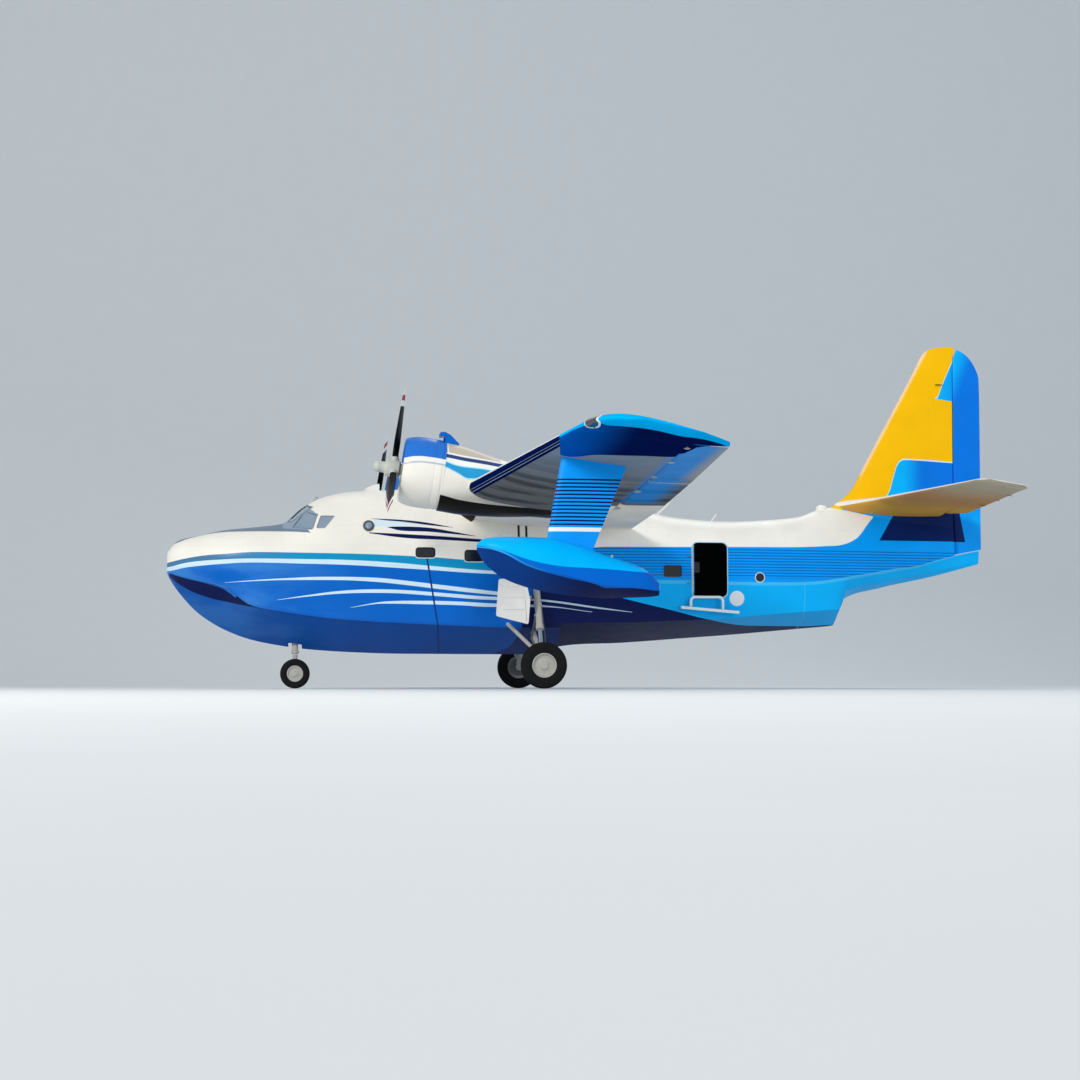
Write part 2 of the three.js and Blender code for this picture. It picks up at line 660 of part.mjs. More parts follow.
function finRing(row, swell) {
  const rib = finRib(row);
  const hingeX = (RUDDER_HINGE - rib.lead) / rib.chord;
  const end = Math.min(hingeX, 0.98) - halfThickness(rib, hingeX) - HINGE_GAP / rib.chord;
  const steps = RIB_STEPS.map((part) => part * end);
  const at = (x, sign) => {
    const out = halfThickness(rib, x) * rib.chord + swell;
    return place(rib.lead + x * rib.chord, sign * out, rib.height);
  };
  const nose = place(rib.lead - swell, 0, rib.height);
  return [at(end, 1), ...steps.map((x) => at(x, 1)), nose, ...steps.reverse().map((x) => at(x, -1)), at(end, -1)];
}

const finLoft = (swell) => loft(FIN.map((row) => finRing(row, swell)));

function rudderRing(row) {
  const rib = finRib(row);
  const x = (RUDDER_HINGE - rib.lead) / rib.chord;
  const radius = halfThickness(rib, x) * rib.chord;
  const nose = [110, 145, 180, 215, 250].map((angle) => {
    const t = THREE.MathUtils.degToRad(angle);
    return place(RUDDER_HINGE + radius * Math.cos(t), radius * Math.sin(t), rib.height);
  });
  const rest = [0.15, 0.55, 1].map((part) => x + part * (1 - x));
  const skin = (part, sign) => place(rib.lead + part * rib.chord, sign * halfThickness(rib, part) * rib.chord, rib.height);
  return [...nose, ...rest.map((part) => skin(part, -1)), ...rest.map((part) => skin(part, 1)).reverse()];
}

// The fin's foot is cut to the tail cone, and the tailplanes butt against its sides
const tailConeCut = loft(HULL.filter((row) => row[0] >= 14400).map((row) => hullRing(row, -1)));
add('fin', cut(finLoft(0), tailConeCut), 'yellow');
const RUDDER = { foot: 2900, head: 7870 };
const rudderLoft = loft([
  rudderRing([RUDDER.foot, ...FIN[0].slice(1)]),
  ...ribsBetween(FIN, FIN[0][0], RUDDER.head).map((z) => rudderRing(rowAt(FIN, z))),
  rudderRing(rowAt(FIN, RUDDER.head)),
]);
add('rudder', common(rudderLoft, heelCut(20)), 'blue');

// Tailplane and elevators: the first two rows are the fillet at the fin
const TAIL_SPAN = 4750;
const TAILPLANE = [
  // y lead chord height incidence thickness
  [0, 15150, 3090, 4190, 3.2, 0.13],
  [700, 16030, 2200, 4310, 6.5, 0.1],
  [4100, 17050, 1215, 4415, 9.5, 0.09],
  [4550, 17190, 1105, 4432, 9.5, 0.08],
  [TAIL_SPAN, 17420, 760, 4425, 9.5, 0.05],
];
const TAIL_ROOT = 30;
const ELEVATOR = { from: 420, to: 4480, gap: 20 };
const tailHingeAt = (y) => THREE.MathUtils.lerp(TAIL_HINGE.root, TAIL_HINGE.tip, y / TAIL_SPAN);
const tailRib = (y) => ribAt(TAILPLANE, y, 0);

SIDES.forEach(({ side, hand }) => {
  const fixedEnd = ELEVATOR.to + ELEVATOR.gap;
  const fixed = [TAIL_ROOT, ...ribsBetween(TAILPLANE, TAIL_ROOT, fixedEnd), fixedEnd];
  const tip = [fixedEnd - 1, ...ribsBetween(TAILPLANE, fixedEnd, TAIL_SPAN), TAIL_SPAN];
  const whole = join(
    loft(fixed.map((y) => fixedRing(tailRib(y), tailHingeAt(y), hand))),
    loft(tip.map((y) => ribRing(tailRib(y), 1, hand))),
  );
  add(`tailplane_${side}`, cut(whole, finLoft(1), tailConeCut), 'cream');
  add(`elevator_${side}`, controlSurface(TAILPLANE, 0, ELEVATOR.from, ELEVATOR.to, tailHingeAt, hand), 'cream');
});

// Landing gear
function wheel({ station, radius, width, rim }, y) {
  const half = width / 2;
  const outline = [
    [-half * 0.75, 0], [-half * 0.75, rim], [-half * 0.8, rim], [-half, rim + 60], [-half, radius - 70],
    [-half * 0.65, radius - 12], [0, radius],
    [half * 0.65, radius - 12], [half, radius - 70], [half, rim + 60], [half * 0.8, rim], [half * 0.75, rim], [half * 0.75, 0],
  ];
  const middle = place(station, y, radius);
  const shape = outline.map(([along, r]) => new THREE.Vector2(r, along));
  return new THREE.LatheGeometry(shape, 28).translate(middle.x, middle.y, middle.z);
}

SIDES.forEach(({ side, hand }) => {
  const { station, spread, radius, width } = MAIN_WHEEL;
  const inner = spread - width / 2 - 12;
  add(`main_wheel_${side}`, wheel(MAIN_WHEEL, hand * spread), 'rubber');
  const leg = join(
    bar([station, hand * 1080, 2450], [station, hand * (inner - 90), radius + 60], 75),
    bar([station - 60, hand * 1080, 1250], [station, hand * (inner - 100), radius + 120], 60),
    bar([station - 700, hand * 1080, 1500], [station - 40, hand * (inner - 160), radius + 220], 45),
    bar([station, hand * (inner - 170), radius], [station, hand * inner, radius], 85),
  );
  add(`main_leg_${side}`, cut(leg, loft(HULL.map((row) => hullRing(row, -1)))), 'white');
  const y = hand * 1900;
  add(`gear_fairing_${side}`, sidePlate(
    [[7240, 1560], [7720, 1380], [7760, 1900], [7700, 2390], [7280, 2390]],
    y - 25,
    y + 25,
  ), 'white');
});

const noseAxle = NOSE_WHEEL.radius;
const twin = SIDES.map(({ hand }) => wheel(NOSE_WHEEL, hand * NOSE_WHEEL.spread));
add('nose_wheels', join(...twin, bar(
  [NOSE_WHEEL.station, -NOSE_WHEEL.spread, noseAxle],
  [NOSE_WHEEL.station, NOSE_WHEEL.spread, noseAxle],
  32,
)), 'rubber');
add('nose_fork', cut(join(
  bar([NOSE_WHEEL.station, 0, 290], [NOSE_WHEEL.station, 0, 760], 62),
), bar([NOSE_WHEEL.station, -200, noseAxle], [NOSE_WHEEL.station, 200, noseAxle], 40)), 'metal');
add('nose_leg', bar([NOSE_WHEEL.station, 0, 768], [NOSE_WHEEL.station, 0, 1400 - GAP], 75), 'metal');

// The cabin door is made shut, then swung inwards about its forward edge
const doorInner = -1078;
const doorPlate = sidePlate(
  roundedOutline(DOOR.from + DOOR.gap, DOOR.to - DOOR.gap, DOOR.low + DOOR.gap, DOOR.high - DOOR.gap, DOOR.corner),
  doorInner,
  doorInner - DOOR.thick,
);
const doorHinge = place(DOOR.from + DOOR.gap, doorInner, 0);
const door = add('cabin_door', doorPlate.translate(-doorHinge.x, -doorHinge.y, 0), 'cream');
door.position.set(doorHinge.x, doorHinge.y, 0);
door.rotation.z = THREE.MathUtils.degToRad(DOOR.open);

// Boarding ladder below the door: a frame that hangs from the sill, and a long step board along its foot
const LADDER = { from: 11617, to: 12341, y: -1240, top: 2036, bar: 32, post: 36 };
const STEP = { from: [11390, 1806], to: [12703, 1695], high: 64, deep: 150 };
const stepHeight = (station) => THREE.MathUtils.mapLinear(station, STEP.from[0], STEP.to[0], STEP.from[1], STEP.to[1]);
const posts = [LADDER.from + LADDER.post, LADDER.to - LADDER.post].flatMap((station) => [
  bar([station, LADDER.y, stepHeight(station)], [station, LADDER.y, LADDER.top], LADDER.post),
  bar([station, LADDER.y, LADDER.top], [station, -900, LADDER.top], LADDER.bar),
  bar([station, LADDER.y, stepHeight(station)], [station, -900, stepHeight(station)], LADDER.bar),
]);
const stepBoard = sidePlate([
  [STEP.from[0], STEP.from[1] - STEP.high / 2], [STEP.to[0], STEP.to[1] - STEP.high / 2],
  [STEP.to[0], STEP.to[1] + STEP.high / 2], [STEP.from[0], STEP.from[1] + STEP.high / 2],
], LADDER.y - STEP.deep / 2, LADDER.y + STEP.deep / 2);
const topBar = bar([LADDER.from, LADDER.y, LADDER.top], [LADDER.to, LADDER.y, LADDER.top], LADDER.bar);
add('boarding_ladder', cut(join(topBar, stepBoard, ...posts), loft(HULL.map((row) => hullRing(row, -1)))), 'white');

export default model;
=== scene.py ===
"""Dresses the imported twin-engined flying boat: faired skins, livery, engines, glass, gear and fittings."""
from __future__ import annotations

import logging
import math
from contextlib import contextmanager
from dataclasses import dataclass, field, replace
from enum import Enum
from typing import Callable, Iterator, Sequence

import bmesh
import bpy
from mathutils import Matrix, Vector


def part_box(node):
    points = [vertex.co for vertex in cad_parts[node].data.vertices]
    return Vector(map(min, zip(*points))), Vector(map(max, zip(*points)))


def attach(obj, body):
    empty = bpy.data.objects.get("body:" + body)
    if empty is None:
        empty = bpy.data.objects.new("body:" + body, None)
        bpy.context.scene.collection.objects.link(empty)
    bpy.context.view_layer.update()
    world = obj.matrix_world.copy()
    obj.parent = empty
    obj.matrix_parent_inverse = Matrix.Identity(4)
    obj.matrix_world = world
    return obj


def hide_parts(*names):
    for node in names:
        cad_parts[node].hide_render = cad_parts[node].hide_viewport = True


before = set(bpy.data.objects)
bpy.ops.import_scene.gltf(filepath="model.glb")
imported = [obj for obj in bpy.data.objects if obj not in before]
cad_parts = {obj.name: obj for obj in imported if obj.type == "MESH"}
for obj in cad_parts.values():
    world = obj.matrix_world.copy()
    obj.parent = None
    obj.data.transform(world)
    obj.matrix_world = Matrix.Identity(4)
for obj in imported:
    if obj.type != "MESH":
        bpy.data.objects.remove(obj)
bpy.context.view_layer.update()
log = logging.getLogger("flying_boat")

Point = tuple[float, float]
Line = Sequence[Point]
Stripe = Sequence[tuple[float, float, float]]
Put = Callable[[float, float, float], Vector]
Piece = bpy.types.Object
Socket = bpy.types.NodeSocket
Material = bpy.types.Material

# Everything is in metres. A station is the distance aft of the nose.
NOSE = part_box("hull_bow")[0].x
BOW_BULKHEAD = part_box("cockpit_shell")[0].x - NOSE
COCKPIT_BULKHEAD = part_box("cabin_shell_forward")[0].x - NOSE
CABIN_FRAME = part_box("cabin_shell_aft")[0].x - NOSE
TAIL_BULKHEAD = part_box("tail_cone")[0].x - NOSE
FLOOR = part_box("cabin_shell_aft")[0].z
HANDS = {"left": -1, "right": 1}
MIRROR = Matrix.Scale(-1, 4, (0, 1, 0))
ACROSS = Matrix.Rotation(math.pi / 2, 4, "Z")
UPWARDS = Matrix.Rotation(-math.pi / 2, 4, "Y")
HINGE_GAP = 0.012
SMOOTH_ANGLE = 35.0
PANE_LAP = 0.012
PANE_THICKNESS = 0.008


class Hue(Enum):
    """The colours of the object, as sRGB hex codes."""

    CREAM = "F6F2E8"
    WHITE = "F4F4EF"
    BEIGE = "C8BDAA"
    PALE = "D6F0FF"
    TEAL = "0A98CC"
    SLATE = "4B7CA8"
    COBALT = "0068CC"
    AZURE = "009CFA"
    SKY = "00B6FF"
    MID_BLUE = "0066CC"
    PIN_BLUE = "0070C4"
    NAVY = "04164E"
    DEEP_BLUE = "083C88"
    RUDDER_BLUE = "0078E4"
    AQUA = "46C4F6"
    SKY_GLASS = "93A4B4"
    NOSE_GREY = "74869A"
    COWL_BLUE = "2A76D4"
    LAGOON = "2A9CD2"
    ICE = "A6E2FA"
    SLATE_NAVY = "33497E"
    GLINT = "4E97E2"
    PANEL = "03205C"
    TAN = "B4A88A"
    OCHRE = "C07C34"
    OIL = "050505"
    YELLOW = "FFC200"
    GLARE = "3B4650"
    UNDERSIDE = "8793A0"
    BROWN = "5C5347"
    BLACK = "0D0E10"
    RED = "B3261C"
    SOOT = "17140F"
    LINING = "2A2B28"
    PRIMER = "55584B"
    GEAR_GREY = "B9B8B0"
    PEARL = "C9CCC4"
    STEEL = "8E9296"
    CHROME = "D5D8DA"
    ALUMINIUM = "6F7375"
    BURNT_STEEL = "4A3B30"
    RUBBER = "1B1B1C"
    LENS = "D9E2E4"
    LADDER = "F2FFFF"
    DOOR_FRAME = "B4DCF2"
    SMOKED = "0C1013"
    STUDIO_FLOOR = "E4E7E8"
    KEY_LIGHT = "FFFAF2"
    FILL_LIGHT = "F2F6FF"
    RIM_LIGHT = "FFFFFF"
    DAYLIGHT = "DCE6F0"


def linear(hue: Hue) -> tuple[float, float, float, float]:
    """Turns a colour's sRGB hex code to linear RGBA."""
    parts = [int(hue.value[k:k + 2], 16) / 255 for k in (0, 2, 4)]
    return (*(p / 12.92 if p <= 0.04045 else ((p + 0.055) / 1.055) ** 2.4 for p in parts), 1.0)


def at(station: float, y: float, z: float) -> Vector:
    """A point of the frame by its station, its distance to starboard and its height."""
    return Vector((NOSE + station, y, z))


def mix(a: float, b: float, part: float) -> float:
    """The value that lies the given part of the way from a to b."""
    return a + (b - a) * part


def steps(start: float, end: float, count: int) -> list[float]:
    """Evenly spaced values from start to end, both included."""
    return [mix(start, end, k / count) for k in range(count + 1)]


def turns(count: int) -> list[float]:
    """Evenly spaced angles round a full turn."""
    return [math.tau * k / count for k in range(count)]


def circle(middle: Point, radius: float, count: int) -> list[Point]:
    """Evenly spaced points on a circle."""
    return [(middle[0] + radius * math.cos(t), middle[1] + radius * math.sin(t)) for t in turns(count)]


def placed(station: float, y: float, z: float) -> Matrix:
    """The move from the origin to a point of the frame."""
    return Matrix.Translation(at(station, y, z))


class Faired:
    """A smooth curve through the rows of a table, keyed on its first column, that never overshoots a row."""

    def __init__(self, rows: Sequence[Sequence[float]], power: float = 1.0) -> None:
        """Works out the slopes.

        Args:
            rows: the table; the first column rises.
            power: the key is raised to this, so that 0.5 rounds off a blunt start.
        """
        self.power = power
        self.keys = [row[0] ** power for row in rows]
        self.columns = list(zip(*rows))
        self.slopes = [self._slopes(column) for column in self.columns]

    def _slopes(self, column: Sequence[float]) -> list[float]:
        """The slope of one column at each row.

        Args:
            column: the column's values.
        Returns:
            One slope for each row.
        """
        gaps = [b - a for a, b in zip(self.keys, self.keys[1:])]
        rises = [(b - a) / gap for a, b, gap in zip(column, column[1:], gaps)]
        inner = []
        for before, after, gap_before, gap_after in zip(rises, rises[1:], gaps, gaps[1:]):
            if before * after <= 0:
                inner.append(0.0)
                continue
            weight_before, weight_after = 2 * gap_after + gap_before, gap_after + 2 * gap_before
            inner.append((weight_before + weight_after) / (weight_before / before + weight_after / after))
        return [rises[0], *inner, rises[-1]]

    def row(self, key: float) -> list[float]:
        """All columns at one key.

        Args:
            key: a value of the first column.
        Returns:
            The faired row.
        """
        place = min(max(key, 0) ** self.power, self.keys[-1])
        k = next((i for i, end in enumerate(self.keys[1:]) if place <= end), len(self.keys) - 2)
        gap = self.keys[k + 1] - self.keys[k]
        t = max(0.0, (place - self.keys[k]) / gap)
        rise = 3 * t * t - 2 * t ** 3
        return [
            mix(c[k], c[k + 1], rise) + gap * (t * (1 - t) ** 2 * m[k] - t * t * (1 - t) * m[k + 1])
            for c, m in zip(self.columns, self.slopes)
        ]


# Modelling

def deselect() -> None:
    """Deselects every object."""
    bpy.ops.object.select_all(action="DESELECT")


def choose(*pieces: Piece) -> None:
    """Selects these objects only, and makes the first one active.

    Args:
        pieces: the objects to select.
    """
    deselect()
    for piece in pieces:
        piece.select_set(True)
    bpy.context.view_layer.objects.active = pieces[0]


@contextmanager
def editing(piece: Piece, mode: str = "FACE") -> Iterator[None]:
    """Edit mode on one object, with nothing selected at the start.

    Args:
        piece: the object to edit.
        mode: what is selected in it: VERT, EDGE or FACE.
    """
    choose(piece)
    bpy.ops.object.mode_set(mode="EDIT")
    bpy.ops.mesh.select_mode(type=mode)
    bpy.ops.mesh.select_all(action="DESELECT")
    yield
    bpy.ops.object.mode_set(mode="OBJECT")


def select_faces(piece: Piece, test: Callable[[bmesh.types.BMFace], bool]) -> None:
    """Selects, in edit mode, the faces that pass the test.

    Args:
        piece: an object in edit mode.
        test: tells whether a face is wanted.
    """
    mesh = bmesh.from_edit_mesh(piece.data)
    for face in mesh.faces:
        face.select_set(test(face))
    bmesh.update_edit_mesh(piece.data)


def named(piece: Piece, name: str) -> Piece:
    """Gives an object and its mesh one name."""
    piece.name = piece.data.name = name
    return piece


def sheet(name: str, rings: Sequence[Sequence[Vector]], closed: bool = True) -> Piece:
    """A grid laid over a form, one ring of points after the other.

    Args:
        name: the piece's name.
        rings: the sections, each with the same number of points.
        closed: whether each ring joins its end to its start.
    Returns:
        The open skin.
    """
    deselect()
    across = len(rings[0]) - (0 if closed else 1)
    bpy.ops.mesh.primitive_grid_add(x_subdivisions=across, y_subdivisions=len(rings) - 1)
    piece = named(bpy.context.object, name)
    points = [p for ring in rings for p in (*ring, ring[0])[:across + 1]]
    piece.data.vertices.foreach_set("co", [c for p in points for c in p])
    piece.data.update()
    return piece


def closed_up(piece: Piece, caps: bool = True) -> Piece:
    """Merges the seams, closes the open ends and turns the faces outwards.

    Args:
        piece: the open skin.
        caps: whether its ends are closed.
    Returns:
        The piece.
    """
    with editing(piece):
        bpy.ops.mesh.select_all(action="SELECT")
        bpy.ops.mesh.remove_doubles(threshold=1e-5)
        if caps:
            bpy.ops.mesh.fill_holes(sides=0)
        bpy.ops.mesh.select_all(action="SELECT")
        bpy.ops.mesh.normals_make_consistent(inside=False)
    return piece


def solid(name: str, rings: Sequence[Sequence[Vector]]) -> Piece:
    """A closed body lofted over rings."""
    return closed_up(sheet(name, rings))


def modify(piece: Piece, kind: str, **settings: object) -> Piece:
    """Adds a modifier with its settings and applies it.

    Args:
        piece: the piece to change.
        kind: the modifier's type.
        settings: the modifier's settings.
    Returns:
        The piece.
    """
    choose(piece)
    modifier = piece.modifiers.new(kind.lower(), kind)
    for key, value in settings.items():
        setattr(modifier, key, value)
    bpy.ops.object.modifier_apply(modifier=modifier.name)
    return piece


def bisected(piece: Piece, point: Vector, normal: Vector, fill: bool = False) -> Piece:
    """Cuts a piece with a plane and drops what lies on the normal's side.

    Args:
        piece: the piece to cut.
        point: a point of the plane.
        normal: the plane's direction, towards the side that goes.
        fill: whether the cut is closed.
    Returns:
        The piece.
    """
    with editing(piece):
        bpy.ops.mesh.select_all(action="SELECT")
        bpy.ops.mesh.bisect(plane_co=point, plane_no=normal, clear_outer=True, use_fill=fill)
    return piece


def joined(name: str, pieces: Sequence[Piece]) -> Piece:
    """Joins pieces into one object.

    Args:
        name: the new piece's name.
        pieces: the pieces to join.
    Returns:
        The joined piece.
    """
    choose(*pieces)
    if len(pieces) > 1:
        bpy.ops.object.join()
    return named(bpy.context.view_layer.objects.active, name)


def carved(piece: Piece, cutters: Sequence[Piece]) -> Piece:
    """Cuts the joined cutters out of a piece and removes them.

    Args:
        piece: the piece to cut.
        cutters: the shapes that are taken away.
    Returns:
        The piece.
    """
    tool = joined("cutter", cutters)
    modify(piece, "BOOLEAN", object=tool, operation="DIFFERENCE", solver="EXACT")
    bpy.data.objects.remove(tool)
    return piece


def twin(piece: Piece, name: str, matrix: Matrix) -> Piece:
    """A copy with its own mesh, moved by a matrix; a mirrored copy has its faces turned back.

    Args:
        piece: the piece to copy.
        name: the copy's name.
        matrix: where the copy goes.
    Returns:
        The copy.
    """
    copy = piece.copy()
    copy.data = piece.data.copy()
    bpy.context.scene.collection.objects.link(copy)
    copy.data.transform(matrix)
    if matrix.determinant() < 0:
        copy.data.flip_normals()
    return named(copy, name)


def bevelled(piece: Piece, width: float, segments: int) -> Piece:
    """Rounds all edges of a piece.

    Args:
        piece: the piece to round.
        width: the width of a rounded edge.
        segments: the number of steps round it.
    Returns:
        The piece.
    """
    with editing(piece, "EDGE"):
        bpy.ops.mesh.select_all(action="SELECT")
        bpy.ops.mesh.bevel(offset=width, segments=segments, affect="EDGES")
    return piece


def recessed(
    piece: Piece, test: Callable[[bmesh.types.BMFace], bool], lip: float, into: tuple[float, ...]
) -> None:
    """Sinks the faces that pass a test, inside a narrow lip.

    Args:
        piece: the piece to shape.
        test: tells whether a face is sunk.
        lip: the lip's width.
        into: how far and which way the faces go.
    """
    with editing(piece):
        select_faces(piece, test)
        bpy.ops.mesh.inset(thickness=lip)
        bpy.ops.mesh.extrude_region_move(TRANSFORM_OT_translate={"value": into})


def panelled(piece: Piece, border: float, depth: float, slope: float = 0.012) -> Piece:
    """Lets a shallow panel into both sides of a flat piece.

    Args:
        piece: a flat piece whose sides face port and starboard.
        border: the width of the edge that stays.
        depth: how deep the panel lies.
        slope: the width of its sloping edge.
    Returns:
        The piece.
    """
    with editing(piece):
        select_faces(piece, lambda f: abs(f.normal.y) > 0.9)
        bpy.ops.mesh.inset(thickness=border, use_individual=True)
        bpy.ops.mesh.inset(thickness=slope, depth=-depth, use_individual=True)
    return piece


def block(name: str, low: Vector, high: Vector, bevel: float, segments: int = 2) -> Piece:
    """A block with rounded edges between two corners.

    Args:
        name: the piece's name.
        low: the corner with the lowest coordinates.
        high: the opposite corner.
        bevel: the width of a rounded edge.
        segments: the number of steps round it.
    Returns:
        The block.
    """
    deselect()
    bpy.ops.mesh.primitive_cube_add(size=1, location=(low + high) / 2)
    piece = named(bpy.context.object, name)
    piece.scale = high - low
    bpy.ops.object.transform_apply(location=True, rotation=False, scale=True)
    return bevelled(piece, bevel, segments)


def turned(name: str, profile: Line, count: int, matrix: Matrix, ring: bool = False) -> Piece:
    """A profile spun about the X axis and then placed.

    Args:
        name: the piece's name.
        profile: (distance along the axis, radius) pairs.
        count: the number of steps round.
        matrix: where the spun shape goes.
        ring: whether the profile closes on itself.
    Returns:
        The turned piece.
    """
    deselect()
    bpy.ops.mesh.primitive_circle_add(vertices=len(profile), fill_type="NOTHING")
    piece = named(bpy.context.object, name)
    for vertex, (along, radius) in zip(piece.data.vertices, profile):
        vertex.co = (along, 0, radius)
    with editing(piece, "EDGE"):
        if not ring:
            mesh = bmesh.from_edit_mesh(piece.data)
            for edge in mesh.edges:
                edge.select_set({v.index for v in edge.verts} == {0, len(profile) - 1})
            bpy.ops.mesh.delete(type="EDGE")
        bpy.ops.mesh.select_all(action="SELECT")
        bpy.ops.mesh.spin(steps=count, angle=math.tau, center=(0, 0, 0), axis=(1, 0, 0))
    closed_up(piece, caps=False)
    piece.data.transform(matrix)
    return piece


def tube(name: str, path: Sequence[Vector], radii: Sequence[float] | float, sides: int = 14) -> Piece:
    """A round bar along a path, with a softly rounded edge at each end.

    Args:
        name: the piece's name.
        path: the points of its centre line.
        radii: one radius, or one for each point.
        sides: the number of sides.
    Returns:
        The closed bar.
    """
    sizes = [radii] * len(path) if isinstance(radii, (int, float)) else list(radii)
    along = [(b - a).normalized() for a, b in zip(path, path[1:])]
    ways = [along[0], *((a + b).normalized() for a, b in zip(along, along[1:])), along[-1]]
    side = ways[0].orthogonal().normalized()
    rings = []
    edge = min(sizes) * 0.2
    for k, (point, way, size) in enumerate(zip(path, ways, sizes)):
        side = (side - way * side.dot(way)).normalized()
        up = way.cross(side)
        layers = [(0.0, size)]
        if k == 0:
            layers = [(0.0, size - edge), (edge, size)]
        elif k == len(path) - 1:
            layers = [(-edge, size), (0.0, size - edge)]
        for shift, reach in layers:
            rings.append([
                point + way * shift + (side * math.cos(t) + up * math.sin(t)) * reach
                for t in turns(sides)
            ])
    return solid(name, rings)


def finished(
    piece: Piece,
    body: str,
    slot: str,
    finish: Material,
    *replaced: str,
    angle: float = SMOOTH_ANGLE,
) -> None:
    """Smooths, paints and hangs one piece on its body.

    Args:
        piece: the modelled piece, in place.
        body: the body that carries it.
        slot: the record's material slot; not used.
        finish: its material.
        replaced: the CAD nodes that it stands for.
        angle: edges flatter than this many degrees are shaded smooth.
    """
    choose(piece)
    bpy.ops.object.shade_smooth_by_angle(angle=math.radians(angle))
    if not piece.data.materials:
        piece.data.materials.append(finish)
    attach(piece, body)
    if replaced:
        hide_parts(*replaced)
    log.info("%s rides on %s with %d faces", piece.name, body, len(piece.data.polygons))


# Finishes

def add(
    tree: bpy.types.NodeTree,
    kind: str,
    inputs: dict[int | str, object] | None = None,
    out: int | str = 0,
    **settings: object,
) -> Socket:
    """Adds one shader node.

    Args:
        tree: the material's node tree.
        kind: the node's type, without its ShaderNode prefix.
        inputs: a value or a socket for each input that is set.
        out: the output that is wanted.
        settings: the node's own settings.
    Returns:
        The wanted output socket.
    """
    made = tree.nodes.new("ShaderNode" + kind)
    for key, value in settings.items():
        setattr(made, key, value)
    for key, value in (inputs or {}).items():
        if isinstance(value, Socket):
            tree.links.new(value, made.inputs[key])
        else:
            made.inputs[key].default_value = value
    return made.outputs[out]


@dataclass(frozen=True)
class Gloss:
    """How a finish takes the light."""

    roughness: float = 0.34
    metallic: float = 0.0
    coat: float = 0.05
    coat_roughness: float = 0.12
    specular: float = 0.1
    spread: float = 0.08
    grain_mm: float = 400.0
    bump_mm: float = 0.6


class Seams(Enum):
    """Which way the riveted panels of a skin run: the axes along and across them."""

    SIDE = ("x", "z")
    WING = ("y", "x")
    FIN = ("z", "x")
    NONE = ()


